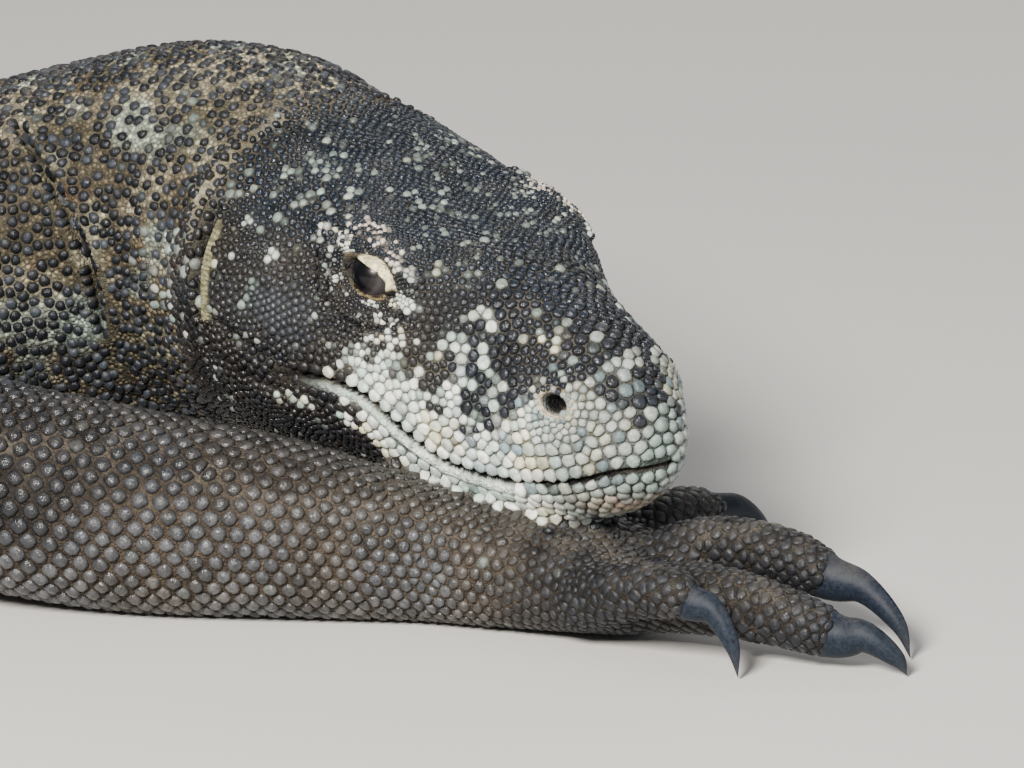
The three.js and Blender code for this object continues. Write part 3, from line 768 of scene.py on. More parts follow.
def nostril_height(local):
    """Inside an ellipse the skin drops into a pit, round it stands a swollen ring."""
    offset = mirrored(local) - NOSTRIL["centre"]
    cos, sin = np.cos(NOSTRIL["tilt"]), np.sin(NOSTRIL["tilt"])
    along = offset[:, 0] * cos + offset[:, 2] * sin
    across = offset[:, 2] * cos - offset[:, 0] * sin
    ratio = np.sqrt((along / NOSTRIL["half"][0]) ** 2 + (across / NOSTRIL["half"][1]) ** 2)
    ratio = ratio + 5 * (np.abs(offset[:, 1]) > NOSTRIL_REACH)
    return 0.9 * np.exp(-((ratio - 1.45) / 0.4) ** 2) - 6.5 * smooth_step((1.12 - ratio) / 0.55)


points = mesh_points(skin_mesh)
normals = mesh_normals(skin_mesh)
points = from_head(snapped(to_head(points)))
pit_depth = nostril_height(to_head(points))
height = fold_heights(points) + pit_depth
points = from_head(lidded(to_head(points + normals * height[:, None])))
points[:, 2] = np.maximum(points[:, 2], FLOOR_LIFT)
set_points(skin_mesh, points)
bpy.data.objects.remove(shells)
skin = new_object("skin", skin_mesh)
smooth_shaded(skin_mesh)
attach(skin, "root")
print("lowest point of the skin", round(float(points[:, 2].min()), 2), "mm")
FLESH_NODES = [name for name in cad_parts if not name.startswith(("eye", "claw"))]
print(len(FLESH_NODES), "nodes of flesh")

# %% [markdown]
# ## Where each scale stands
# A dragon's scales run in rings round the body, each ring shifted by half a scale from the last, and in
# rows along the limbs. On the head they are of every size, packed like pebbles. So the tubes get rings
# of sites, closer together on the limbs with fewer sites in each, and the head gets scattered sites
# that push each other apart until they are evenly packed.
# Sites are then laid on the skin, and those that fall inside another part of the body are dropped.

# %% Sites in rings
SEED = 11
rng = np.random.default_rng(SEED)
# scales along each kind of tube: share of its length, pitch along, pitch round, height, fill, tilt
COATS = {
    "spine": [
        (0.0, 5.0, 3.6, 1.2, 0.76, 0.1), (0.1, 6.6, 4.6, 1.5, 0.72, 0.15), (0.24, 7.0, 5.0, 1.5, 0.74, 0.2),
        (0.34, 7.8, 6.4, 1.4, 0.87, 0.35), (0.6, 8.0, 7.0, 1.3, 0.9, 0.4), (0.75, 7.6, 5.6, 1.1, 0.93, 0.4),
        (0.9, 6.4, 4.4, 0.9, 0.93, 0.35), (1.0, 4.0, 2.6, 0.6, 0.93, 0.3)],
    "limb": [
        (0.0, 7.2, 5.9, 1.9, 0.87, 0.4), (0.6, 7.0, 5.7, 1.9, 0.88, 0.45), (0.85, 5.2, 4.6, 1.4, 0.93, 0.5),
        (1.0, 4.2, 4.2, 1.1, 0.95, 0.4)],
    "palm": [
        (0.0, 4.0, 4.6, 0.9, 0.95, 0.4), (0.5, 3.4, 5.4, 0.7, 0.96, 0.4), (1.0, 2.9, 6.4, 0.65, 0.96, 0.4)],
    "digit": [
        (0.0, 2.9, 6.8, 0.65, 0.98, 0.5), (0.7, 2.7, 9.5, 0.65, 0.98, 0.5), (1.0, 2.3, 7.0, 0.5, 0.98, 0.4)],
    "granules": [(0.0, 1.9, 1.9, 0.45, 0.93, 0.05), (1.0, 1.9, 1.9, 0.45, 0.93, 0.05)],
}
# how far a site may leave its place in the ring, in pitches
JITTER = {"neck": 0.34, "spine": 0.2, "limb": 0.13, "palm": 0.1, "digit": 0.04}
LINED = {"limb": 2.0}  # rings this many times closer, sites in them this many times further apart
NECK_SHARE = 0.27  # the neck is this share of the spine
STEADY = 0.09  # a ring keeps the last ring's number while it is this near the wanted one
KEY_STEPS = 60  # steps between two rows in which the length of a tube is measured


def coat_kind(name):
    """The kind of coat a length of flesh wears, by its name."""
    if name == "spine" or name in PAWS:
        return "palm" if name in PAWS else "spine"
    return "digit" if name[-1].isdigit() else "limb"


def ring_sites(name, table):
    """Keys and angles: rings one pitch apart along the middle line, sites one pitch apart round each."""
    surface, last = FLESH[name]
    keys = np.linspace(0, last, KEY_STEPS * last + 1)
    middle = surface(keys[:, None], np.linspace(0, 2 * np.pi, 24, endpoint=False)).mean(1)
    steps = np.linalg.norm(np.diff(middle, axis=0), axis=1)
    lined = LINED.get(coat_kind(name), 1.0)
    pitch = np.interp(keys[:-1] / last, table[:, 0], table[:, 1]) / lined
    turns = np.concatenate([[0], np.cumsum(steps / pitch)])
    ring_keys = np.interp(np.arange(0.5, turns[-1]), turns, keys)
    found, many = [], 0
    for number, key in enumerate(ring_keys):
        angles = np.linspace(0, 2 * np.pi, 145)
        girth = np.linalg.norm(np.diff(surface(key, angles), axis=0), axis=1)
        girth = np.concatenate([[0], np.cumsum(girth)])
        wanted = girth[-1] / np.interp(key / last, table[:, 0], table[:, 2]) / lined
        many = many if abs(many - wanted) < STEADY * wanted else max(4, round(wanted))
        jitter = JITTER["neck" if name == "spine" and key / last < NECK_SHARE else coat_kind(name)]
        share = (np.arange(many) + 0.5 * (number % 2) + jitter / lined * rng.uniform(-1, 1, many)) / many
        off = 0.75 * jitter * lined * rng.uniform(-1, 1, many) * (ring_keys[1] - ring_keys[0])
        found.append(np.stack([key + off, np.interp(share % 1 * girth[-1], girth, angles)]))
    return np.hstack(found)


def tube_coat(name, table):
    """Rows of place, flow, part, share, round, sizes for the sites of one length of flesh."""
    surface, last = FLESH[name]
    key, angle = ring_sites(name, table)
    values = [np.interp(key / last, table[:, 0], table[:, k]) for k in range(1, 6)]
    flow = surface(key + NUDGE, angle) - surface(key - NUDGE, angle)
    place = surface(key, angle, -BODY_DEPTH)
    number = np.full(len(key), tube_names.index(name))
    return np.column_stack([place, unit(flow), number, key / last, angle / (2 * np.pi), *values])


tube_names = [name for name in FLESH if name != "head"]
tube_sites = np.vstack([tube_coat(name, np.array(COATS[coat_kind(name)])) for name in tube_names])
print(len(tube_sites), "sites in rings")

# %% [markdown]
# The head's sites start as random points, thicker where the scales are small. The rows of plates along
# the lips and the rings of granules round the eyes and nostrils are set first and stay put.

# %% Sites on the head
HEAD_COAT = {"high": 0.27, "fill": 0.94, "tilt": 0.12}
LIP_PITCH = 5.3
# size of the scales along the head: x, pitch
HEAD_PITCHES = [(-10, 4.2), (25, 3.4), (60, 3.2), (100, 3.7), (135, 4.5), (165, 5.0), (200, 5.3)]
# rows along the lips: height over their line, pitch, size, first step, first and last point of the path.
# The fourth and fifth lie on the bare rim of the lower lip and only keep its plates off
LIP_ROWS = [
    (3.4, 5.4, 5.4, 0.5, 1, 13), (8.4, 5.4, 5.4, 0.0, 1, 11), (13.2, 5.2, 5.2, 0.5, 1, 9),
    (-1.8, 2.9, 4.3, 0.5, 5, 13), (-4.4, 2.9, 4.0, 0.5, 5, 9), (-8.2, 5.2, 5.2, 0.5, 5, 12),
    (-3.8, 5.3, 5.3, 0.5, 1, 6), (-8.9, 5.5, 5.5, 0.0, 1, 6),
]
# rings of granules round the eye: distance beyond the lids, pitch
EYE_RINGS = [(0.7, 1.3), (1.95, 1.5), (3.3, 1.75), (4.8, 2.0), (6.5, 2.3)]
EYE_RING_OUT = 5.5  # how far out of the eye's centre those rings are set
# rings round the nostril: size as a multiple of its ellipse, pitch
NOSTRIL_RINGS = [(1.75, 2.3), (2.35, 2.9)]
NOSTRIL_AXES = np.array([(0.93, -0.28, -0.24), (0.2, -0.15, 0.97)])
PACK_ROUNDS = 26
SITE_AREA = 0.84  # area of the skin for each site, in squares of its pitch
ROOM = 1.12  # distance at which two sites stop pushing, in pitches
PUSH = 0.36  # share of the gap by which a site moves in one round
skin_points = mesh_points(skin_mesh)
skin_normals = mesh_normals(skin_mesh)
skin_tree = BVHTree.FromPolygons([tuple(p) for p in skin_points],
                                 [tuple(face.vertices) for face in skin_mesh.polygons])
face_normals = np.array([skin_normals[list(face.vertices)].mean(0) for face in skin_mesh.polygons])


def on_skin(points):
    """Nearest places on the skin, their smooth normals and their distances."""
    found = [skin_tree.find_nearest(point) for point in points.tolist()]
    places = np.array([hit[0][:] for hit in found])
    return places, unit(face_normals[[hit[2] for hit in found]]), np.array([hit[3] for hit in found])


def nearest_of(choices, points, many):
    """Numbers and distances of the nearest of the choices to each point, one row for each."""
    tree = KDTree(len(choices))
    for number, choice in enumerate(choices.tolist()):
        tree.insert(choice, number)
    tree.balance()
    found = [tree.find_n(point, many) for point in points.tolist()]
    return tuple(np.array([[hit[k] for hit in hits] for hits in found]) for k in (1, 2))


def neighbours(points, many):
    """Numbers of the nearest other points of each point, one row for each."""
    return nearest_of(points, points, many + 1)[0][:, 1:]


def lattice_noise(points, size, seed):
    """Random numbers on a cubic lattice of a size, blended between its corners by the smooth step."""
    cell = np.asarray(points) / size
    base = np.floor(cell).astype(np.int64)
    t = smooth_step(cell - base)
    total = 0.0
    for i, j, k in np.ndindex(2, 2, 2):
        mix = (base[:, 0] + i) * 73856093 ^ (base[:, 1] + j) * 19349663 ^ (base[:, 2] + k) * 83492791
        mix = (mix ^ seed * 2654435761) & 0xFFFFFFFF
        mix = ((mix ^ (mix >> 15)) * 0x2C1B3C6D) & 0xFFFFFFFF
        mix = ((mix ^ (mix >> 12)) * 0x297A2D39) & 0xFFFFFFFF
        value = ((mix ^ (mix >> 15)) & 0xFFFF) / 65535
        weight = np.prod(np.where((i, j, k), t, 1 - t), axis=1)
        total = total + value * weight
    return total


def head_pitch(local):
    """Size of the scales: small on the crown and by the eye, larger on the snout, largest on the lips."""
    x, _, z = mirrored(local).T
    pitch = np.interp(x, *np.array(HEAD_PITCHES).T)
    crown = smooth_step((z - 34) / 16) * smooth_step((150 - x) / 50) * smooth_step((x + 5) / 40)
    pitch = pitch + (3.1 - pitch) * crown
    pitch = pitch + (4.4 - pitch) * 0.8 * bell(mirrored(local), (38, 42, 50), (16, 14, 9))
    under = smooth_step((-26 - z) / 12)
    pitch = pitch + (3.3 + 1.2 * smooth_step((x - 120) / 50) - pitch) * under
    over_lips = np.abs(above_lips(mirrored(local)) + 1) / 13
    lips = smooth_step(1.3 - over_lips) * smooth_step((x - 48) / 30)
    pitch = pitch + (LIP_PITCH - pitch) * lips
    pitch = pitch * (1 + (1 - lips) * (0.7 * lattice_noise(local, 6.0, 41) - 0.35))
    from_eye = np.linalg.norm(mirrored(local) - EYE["centre"], axis=1)
    pitch = np.minimum(pitch, 2.0 + 0.13 * np.maximum(from_eye - 17, 0))
    from_nostril = np.linalg.norm(mirrored(local) - NOSTRIL["centre"], axis=1)
    return np.minimum(pitch, 3.0 + 0.2 * np.maximum(from_nostril - 8, 0))


def even_steps(path, pitch, first=0.5):
    """Points one pitch apart along a smooth path."""
    line = finer(path, 12)
    length = np.concatenate([[0], np.cumsum(np.linalg.norm(np.diff(line, axis=0), axis=1))])
    at = np.arange(first * pitch, length[-1], pitch)
    return np.stack([np.interp(at, length, line[:, k]) for k in range(3)], -1)


def ellipse_ring(centre, first, second, pitch):
    """Points one pitch apart round an ellipse with two half axes, or one of each for every step."""
    turn = np.linspace(0, 2 * np.pi, 49)[:, None]
    return even_steps(np.cos(turn) * first + np.sin(turn) * second + centre, pitch)


def set_rows():
    """Fixed sites of one side with their sizes: plates of the lips, granules of the eye and nostril."""
    rows = [(even_steps(np.array(MOUTH[start:end]) + (0, 0, lift), pitch, first), size)
            for lift, pitch, size, first, start, end in LIP_ROWS]
    turn = np.linspace(0, 2 * np.pi, 49)
    half = np.where(np.sin(turn) > 0, OPENING["over"], OPENING["under"])
    width = lid_width(OPENING["long"] * np.cos(turn), half * np.sin(turn))[0]
    centre = EYE["centre"] + EYE_RING_OUT * EYE_OUT
    for beyond, pitch in EYE_RINGS:
        long_axis = (OPENING["long"] + width + beyond)[:, None] * EYE_LONG
        cross_axis = (half + width + beyond)[:, None] * EYE_ACROSS
        rows.append((ellipse_ring(centre, long_axis, cross_axis, pitch), pitch))
    for ratio, pitch in NOSTRIL_RINGS:
        long_axis, cross_axis = (ratio * NOSTRIL["half"][k] * NOSTRIL_AXES[k] for k in (0, 1))
        rows.append((ellipse_ring(NOSTRIL["centre"], long_axis, cross_axis, pitch), pitch))
    return np.vstack([np.column_stack([points, np.full(len(points), size)]) for points, size in rows])


def scattered(rounds):
    """Random points on the head, one for each scale's area, that push apart until they are packed."""
    keys = np.linspace(0, len(HEAD) - 1, 210)
    angles = np.linspace(0, 2 * np.pi, 241)
    grid = head_surface(keys[:, None], angles[None, :], -SCALE_DEPTH["head"])
    area = np.linalg.norm(np.cross(grid[1:, :-1] - grid[:-1, :-1], grid[:-1, 1:] - grid[:-1, :-1]), axis=-1)
    corner = grid[:-1, :-1].reshape(-1, 3)
    chance = area.ravel() / (SITE_AREA * head_pitch(to_head(corner)) ** 2)
    picks = rng.choice(len(corner), int(chance.sum()), p=chance / chance.sum())
    fixed = set_rows()
    fixed = np.vstack([fixed, fixed * (1, -1, 1, 1)])
    loose = corner[picks] + rng.normal(0, 0.6, (len(picks), 3))
    points = on_skin(np.vstack([from_head(fixed[:, :3]), loose]))[0]
    for turn in range(rounds):
        pitch = head_pitch(to_head(points))
        pitch[:len(fixed)] = fixed[:, 3]
        if turn % 3 == 0:
            near = neighbours(points, 8)
        apart = points[:, None] - points[near]
        distance = np.linalg.norm(apart, axis=2, keepdims=True) + 1e-6
        wanted = 0.5 * (pitch[:, None] + pitch[near])[..., None] * ROOM
        push = (np.maximum(wanted - distance, 0) * apart / distance).sum(1) * PUSH
        push[:len(fixed)] = 0
        points = points + push
        if turn % 2 or turn == rounds - 1:
            points[len(fixed):] = on_skin(points[len(fixed):])[0]
    pitch[len(fixed):] = head_pitch(to_head(points))[len(fixed):]
    return points, pitch, len(fixed)


head_points, head_size, fixed_many = scattered(PACK_ROUNDS)
print(len(head_points), "sites on the head,", fixed_many, "of them set in rows")

# %% [markdown]
# Where two parts of the body meet, both have sites inside the other. A site far from the skin is inside,
# and of two sites that lie too close, the one that moved further to reach the skin goes.
# Bare places that remain, such as the smoothed hollows, are filled from the skin's own points.

# %% One list of sites
REACH_OF_SKIN = 15.0  # a site further from the skin than this lies inside another part
CLOSE = 0.66  # two sites nearer than this share of their size are too close
BARE = 0.98  # skin further from every site than this share of a scale's size is bare
FILLED_MOVED = 30  # move that a filling site counts with, so that it gives way
HEAD_TIP, HEAD_SPAN = 201, 216  # front of the head's sites on its axis, and their length
NAPE, NAPE_REACH = -8, 90  # sites of the neck further forward, and within the reach, are dropped
# columns of the list of sites
PLACE, FLOW, NORMAL = slice(0, 3), slice(3, 6), slice(6, 9)
PART, SHARE, ROUND, ALONG, ACROSS, HIGH, FILL, TILT, MOVED = range(9, 18)


def laid(sites):
    """Sites (place, flow, part, share, round, sizes) put on the skin, without those far inside."""
    place, normal, moved = on_skin(sites[:, :3])
    kept = moved < REACH_OF_SKIN
    return np.column_stack([place, sites[:, 3:6], normal, sites[:, 6:], moved])[kept]


def thinned_out(sites):
    """Without each site that has a better one too close; better means that it moved less."""
    near = neighbours(sites[:, PLACE], 8)
    gap = np.linalg.norm(sites[near, PLACE] - sites[:, None, PLACE], axis=2)
    size = np.minimum(sites[:, ALONG], sites[:, ACROSS])
    wanted = CLOSE * np.minimum(size[:, None], size[near])
    rank = sites[:, MOVED] + 1e-4 * np.arange(len(sites))
    better = rank[near] < rank[:, None]
    return sites[~(better & (gap < wanted)).any(1)]


def fill_bare(sites):
    """Points of the skin that lie further from every site than a scale's width become sites too."""
    nearest, gap = (rows[:, 0] for rows in nearest_of(sites[:, PLACE], skin_points, 1))
    size = np.sqrt(sites[nearest, ALONG] * sites[nearest, ACROSS])
    bare = np.flatnonzero(gap > BARE * size)
    added = sites[nearest[bare]].copy()
    added[:, PLACE] = skin_points[bare]
    added[:, NORMAL] = skin_normals[bare]
    added[:, MOVED] = FILLED_MOVED + rng.uniform(0, 5, len(bare))
    return np.vstack([sites, added])


head_local = to_head(head_points)
ones = np.ones(len(head_points))
back = np.tile(-HEAD_MATRIX[:, 0], (len(head_points), 1))
head_rear = smooth_step((22 - head_local[:, 0]) / 26) * smooth_step((head_local[:, 2] - 25) / 20)
head_turn = np.arctan2(head_local[:, 2], head_local[:, 1]) / (2 * np.pi) % 1
head_sites = np.column_stack([
    head_points, back, -ones, (HEAD_TIP - head_local[:, 0]) / HEAD_SPAN, head_turn, head_size, head_size,
    HEAD_COAT["high"] * head_size + 0.1, HEAD_COAT["fill"] - 0.16 * head_rear, HEAD_COAT["tilt"] * ones])
sites = laid(np.vstack([tube_sites, head_sites]))
in_head = (to_head(sites[:, PLACE])[:, 0] > NAPE) & (sites[:, PART] == tube_names.index("spine"))
near_head = np.linalg.norm(mirrored(to_head(sites[:, PLACE])) * (0.6, 1, 1), axis=1) < NAPE_REACH
sites = sites[~(in_head & near_head)]
print(len(sites), "sites on the skin")
sites = thinned_out(sites)
for _ in range(2):
    sites = thinned_out(fill_bare(sites))
print(len(sites), "sites after thinning and filling")

# %% [markdown]
# The beads of the neck stand apart, each in a rosette of tiny granules. These are one more set of rings,
# close together, of which only the sites that clear every other scale are kept.

# %% Granules of the neck
BEAD_SHRINK = 0.74  # size of a bead of the neck, as a share of its cell
BEAD_FILL = 0.94
GRANULE_CLEAR = 0.6  # room between a granule's middle and the rim of a scale
GRANULE_MOVED = 9  # a granule that moved further than this to reach the skin is dropped


def granule_sites(sites):
    """Granule sites that lie outside an ellipse, a little larger than the scale, round every scale."""
    fine = tube_coat("spine", np.array(COATS["granules"]))
    fine = laid(fine[fine[:, SHARE - 3] < NECK_SHARE + 0.02])  # before laying, no normal is listed
    near, _ = nearest_of(sites[:, PLACE], fine[:, PLACE], 4)
    offset = fine[:, None, PLACE] - sites[near, PLACE]
    along = (offset * sites[near, FLOW]).sum(2)
    rest = np.sqrt(np.maximum((offset ** 2).sum(2) - along ** 2, 0))
    half_along, half_across = (0.5 * sites[near, size] + GRANULE_CLEAR for size in (ALONG, ACROSS))
    clear = np.hypot(along / half_along, rest / half_across)
    own_part = (sites[near[:, 0], PART] == fine[:, PART]) & (fine[:, MOVED] < GRANULE_MOVED)
    return fine[(clear.min(1) > 1) & own_part]


on_neck = (sites[:, PART] == tube_names.index("spine")) & (sites[:, SHARE] < NECK_SHARE)
sites[on_neck, ALONG] *= BEAD_SHRINK
sites[on_neck, ACROSS] *= BEAD_SHRINK
sites[on_neck, FILL] = BEAD_FILL
sites[:, FILL] *= 1 + 0.05 * rng.uniform(-1, 1, len(sites))
coarse_many = len(sites)
sites = np.vstack([sites, thinned_out(granule_sites(sites))])
print(len(sites) - coarse_many, "granules between the beads of the neck")

# %% [markdown]
# Nothing grows in the opening of an eye or on its lids, in a nostril, in the ear or on its smooth front
# rim, or on the bare rim of the lower lip. The sites there stay in the list, because their neighbours
# must still leave them room, but no scale is made for them.

# %% Clear the openings
LIP_CLEAR = (-3.9, 1.6)  # bare heights below and above the line of the lips
EAR_CLEAR, EAR_RIM_CLEAR = 2.6, 2.8  # bare distances from the slit of the ear and from its rim
EAR_RIM = [(11.5, 57, 38), (13, 61, 29), (14.5, 64, 20), (18, 66.5, 9)]


def is_open(points):
    """True where a scale may stand, by distance from each bare place of the head."""
    local = mirrored(to_head(points))
    along, across, out, _, margin = eye_place(local)
    eye = (margin < lid_width(along, across)[0] + 0.15) & (out > EYE_FRONT)
    offset = local - NOSTRIL["centre"]
    pit = (np.hypot(offset[:, 0] / NOSTRIL["half"][0], offset[:, 2] / NOSTRIL["half"][1]) < 1.2)
    pit &= np.abs(offset[:, 1]) < NOSTRIL_REACH
    over = above_lips(local) / (0.5 + 0.5 * smooth_step((local[:, 0] - 60) / 30))
    low = LIP_CLEAR[0] - 1.8 * smooth_step((local[:, 0] - 80) / 25)
    low = low + 4.7 * smooth_step((local[:, 0] - RIM_END) / 10)
    lips = (over > low) & (over < LIP_CLEAR[1]) & (local[:, 0] > 48)
    ear = path_distance(local, finer(EAR_SLIT)) < EAR_CLEAR
    ear |= path_distance(local, finer(EAR_RIM)) < EAR_RIM_CLEAR
    return ~(pit | lips | ear | eye)


# %% [markdown]
# ## The shape of a scale
# A scale fills its own cell, with rounded corners. The way to each neighbour is shared by size: with
# sizes s and t and a distance d, in polar form round the site, the cell ends at d s / (s + t) / cos(angle).
# The smooth least of all the bounds is the outline. Rings of it, each smaller and higher than the last,
# make a closed dome whose rear edge is lifted, so that rows overlap like tiles.

# %% Outlines and domes
ROUNDNESS = 9.0  # power of the smooth least; a higher one gives sharper corners
SINK = 0.7  # how far the base of a scale goes into the skin
WIDEST = 0.713  # widest reach of a scale, counted in its own pitch
FAR_AWAY = 40.0  # bound against a neighbour on the other side of a thin part
MOST_BEND = 0.12  # most bend of the skin that a scale follows
PATCH = 0.003  # size of a scale's own patch on the unwrap
# rings of a scale from the base up: share of the outline, height of a bead, height of a flat plate
FINE_RINGS = [(1.0, -1, -1), (0.94, 0.34, 0.6), (0.62, 0.84, 0.95)]
PLAIN_RINGS = [(1.0, -1, -1), (0.84, 0.66, 0.74)]


def frames(sites):
    """Normal, direction of flow and side of each site: three unit vectors at right angles."""
    normal = sites[:, NORMAL]
    side = unit(np.cross(normal, sites[:, FLOW]))
    return normal, np.cross(side, normal), side


def outlines(sites, near, corners, everyone):
    """Polar outline of each cell and the bend of the skin under it, from its neighbours."""
    normal, flow, side = frames(sites)
    offset = everyone[near, PLACE] - sites[:, None, PLACE]
    a, b, c = ((offset * axis[:, None]).sum(2) for axis in (flow, side, normal))
    size, other = (np.sqrt(rows[..., ALONG] * rows[..., ACROSS]) for rows in (sites[:, None], everyone[near]))
    half = np.linalg.norm(offset, axis=2) * size / (size + other)
    opposed = (everyone[near, NORMAL] * normal[:, None]).sum(2) < 0.1
    half = np.where(opposed, FAR_AWAY, half)
    turn = np.linspace(0, 2 * np.pi, corners, endpoint=False)
    lean = np.cos(turn[None, :, None] - np.arctan2(b, a)[:, None, :])
    bound = (np.maximum(lean, 0) / half[:, None, :]) ** ROUNDNESS
    radius = (bound.sum(2) + 1e-12) ** (-1 / ROUNDNESS)
    widest = WIDEST * np.maximum(sites[:, ALONG], sites[:, ACROSS])
    bend = np.where(opposed, 0, c / np.maximum(a * a + b * b, 0.3)).sum(1) / np.maximum((~opposed).sum(1), 1)
    return np.minimum(radius, widest[:, None]), np.clip(bend, -MOST_BEND, MOST_BEND), turn


def domes(sites, near, rings, corners, flat, everyone):
    """Points of all the scales: site + outline * share in the plane + height and bend along the normal."""
    normal, flow, side = frames(sites)
    radius, bend, turn = outlines(sites, near, corners, everyone)
    radius = radius * sites[:, FILL, None]
    share, bead, plate = np.array(rings).T
    level = bead[None] + (plate - bead)[None] * flat[:, None]
    reach = share[None, :, None] * radius[:, None, :]  # scale, ring, corner
    ahead, aside = reach * np.cos(turn), reach * np.sin(turn)
    size = radius.mean(1)[:, None, None]
    lifted = sites[:, TILT, None, None] * np.clip(level, 0, 1)[..., None] * ahead / size
    height = np.where(level[..., None] < 0, -SINK, level[..., None] * sites[:, HIGH, None, None] + lifted)
    height = height + bend[:, None, None] * reach ** 2
    centre = sites[:, None, None, PLACE]
    body = (centre + flow[:, None, None] * ahead[..., None] + side[:, None, None] * aside[..., None]
            + normal[:, None, None] * height[..., None])
    crown = sites[:, PLACE] + normal * sites[:, HIGH, None]
    points = np.concatenate([body.reshape(len(sites), -1, 3), crown[:, None]], 1)
    patch = np.stack([ahead, aside], -1).reshape(len(sites), -1, 2) / radius.max(1)[:, None, None]
    patch = np.concatenate([patch, np.zeros((len(sites), 1, 2))], 1) * PATCH / 2
    rise = np.concatenate([np.repeat(np.clip(bead, 0, 1), corners), [1.0]])
    return points, patch, np.tile(rise, len(sites))


def dome_faces(many, rings, corners):
    """Base, sides and top fan of every scale, as numbers of its points."""
    j = np.arange(corners)
    k = (j + 1) % corners
    top = (rings - 1) * corners
    fan = np.stack([top + j, top + k, np.full(corners, rings * corners)], -1)
    base = j[::-1][None]
    first = (np.arange(many) * (rings * corners + 1))[:, None, None]
    kinds = (base, grid_faces(rings, corners), fan)
    return [(faces[None] + first).reshape(-1, faces.shape[1]) for faces in kinds]


# %% [markdown]
# ## Markings
# The same rule colours the skin and the scales: for any point it says how likely a pale scale is there,
# which pale and which dark colour it takes, and the colour of the soft skin between scales.
# Pale scales crowd along the lips and round the nostril, and lie in small patches over the rest of the head.
# Numbers on a lattice, blended smoothly, give the patches their ragged edges.

# %% Noise and colours
CHARCOAL, BLUE_BLACK, UMBER = (0.011, 0.0125, 0.016), (0.007, 0.011, 0.018), (0.02, 0.0165, 0.0145)
SLATE, STONE, BARK = (0.05, 0.058, 0.07), (0.055, 0.053, 0.051), (0.05, 0.038, 0.029)
MINT, CREAM, CHALK = (0.42, 0.54, 0.48), (0.72, 0.68, 0.48), (0.78, 0.8, 0.75)
PINK, STRAW, KHAKI = (0.60, 0.43, 0.34), (0.42, 0.4, 0.22), (0.085, 0.082, 0.05)
# the near black on the next line is painted shade: in the nostril pits, the ear slits, the folds of the neck,
# the line of the lips, the eye openings and their front corners, and on the shaded skin of the fore limb; it
# also darkens a ring round the lids
TAN, RUST, SHADE_BLACK = (0.14, 0.105, 0.068), (0.26, 0.13, 0.055), (0.006, 0.0055, 0.006)
ICE, LICHEN = (0.2, 0.27, 0.3), (0.25, 0.31, 0.3)
# lids: under the eye, over it, painted shade behind it, their stains and their outer edge
LID_LOW, LID_HIGH, LID_BEHIND_SHADE = (0.22, 0.17, 0.09), (0.86, 0.79, 0.48), (0.03, 0.026, 0.024)
LID_STAIN, LID_EDGE = (0.34, 0.24, 0.14), (0.05, 0.035, 0.03)


def blend(first, second, share):
    """From one colour to another by a share for each point."""
    return np.asarray(first) * (1 - share[:, None]) + np.asarray(second) * share[:, None]


# %% Where the head is pale
# chance of a pale scale, place and reach in the head's frame; the other side is mirrored
PALE_PATCHES = [
    (1.0, (168, 30, -4), (38, 30, 20)), (0.9, (192, 0, 6), (14, 34, 17)), (0.85, (109, 43, 5), (19, 14, 12)),
    (0.6, (98, 47, 16), (12, 10, 8)), (0.95, (126, 36, 12), (3.5, 9, 15)), (0.8, (165, 28, 14), (17, 14, 9)),
    (0.8, (101, 40, 36), (6, 6, 3.5)), (0.6, (27, 52, 43), (7, 5, 4)), (0.75, (40, 54, 38), (9, 6, 3.5)),
    (0.85, (67, 48, 37), (3, 3, 3.5)), (0.9, (86, 46, 31.5), (5, 4, 2)), (0.35, (36, 30, 56), (20, 14, 10)),
    (0.35, (51, 27, 57), (10, 8, 6)), (0.7, (130, 25, 36), (6, 4, 4)),
    (0.65, (155, 17, 34), (7, 5, 4)), (0.7, (177, 4, 31), (5, 12, 5)), (0.6, (72, 36, 54), (13, 6, 4)),
    (0.75, (89, 38, 52), (9, 4, 3)), (0.4, (18, 61, 25), (3, 8, 19)), (1.15, (178, 20, 8), (26, 26, 19)),
    (0.5, (126, 34, 20), (14, 10, 14)), (0.4, (98, 42, 24), (15, 8, 9)),
    (0.3, (70, 2, 58), (22, 20, 10)), (0.5, (58, 53, -12), (12, 9, 6)), (0.8, (68, 42, 47), (7, 5, 4)),
]
LIP_BAND = 17.0  # how far above the line of the lips most plates are pale


def pale_chance(points, on_head):
    """Chance that a scale is pale: a base value, the lip band and the patches, whichever is most."""
    side = mirrored(to_head(points))
    x, _, z = side.T
    above = above_lips(side)
    band = np.where(above > 0, 1 - smooth_step((above - 0.5 * LIP_BAND) / LIP_BAND),
                    1 - smooth_step((-above - 11) / 9))
    band = band * smooth_step((x - 66) / 26) * (np.abs(above) < 40)
    crown = 0.08 * smooth_step((z - 26) / 20) * smooth_step((x + 10) / 40) + 0.08
    patches = np.max([chance * bell(side, place, reach) for chance, place, reach in PALE_PATCHES], axis=0)
    over_eye = path_distance(side, finer(HEAD_GROOVES["brow"][0]))
    patches = np.maximum(patches, 0.8 * smooth_step((4.0 - over_eye) / 2.6) * smooth_step((x - 50) / 12))
    ragged = 0.62 + 0.76 * lattice_noise(points, 5.5, 3)
    beside = 1.5 * bell(side, (-14, 60, 12), (17, 16, 34)) + bell(side, (-38, 34, 58), (18, 18, 14))
    return np.clip(np.maximum(np.maximum(band, patches) * ragged, crown) * on_head
                   + (1 - on_head) * np.maximum(0.03, 0.34 * beside * ragged), 0, 1)


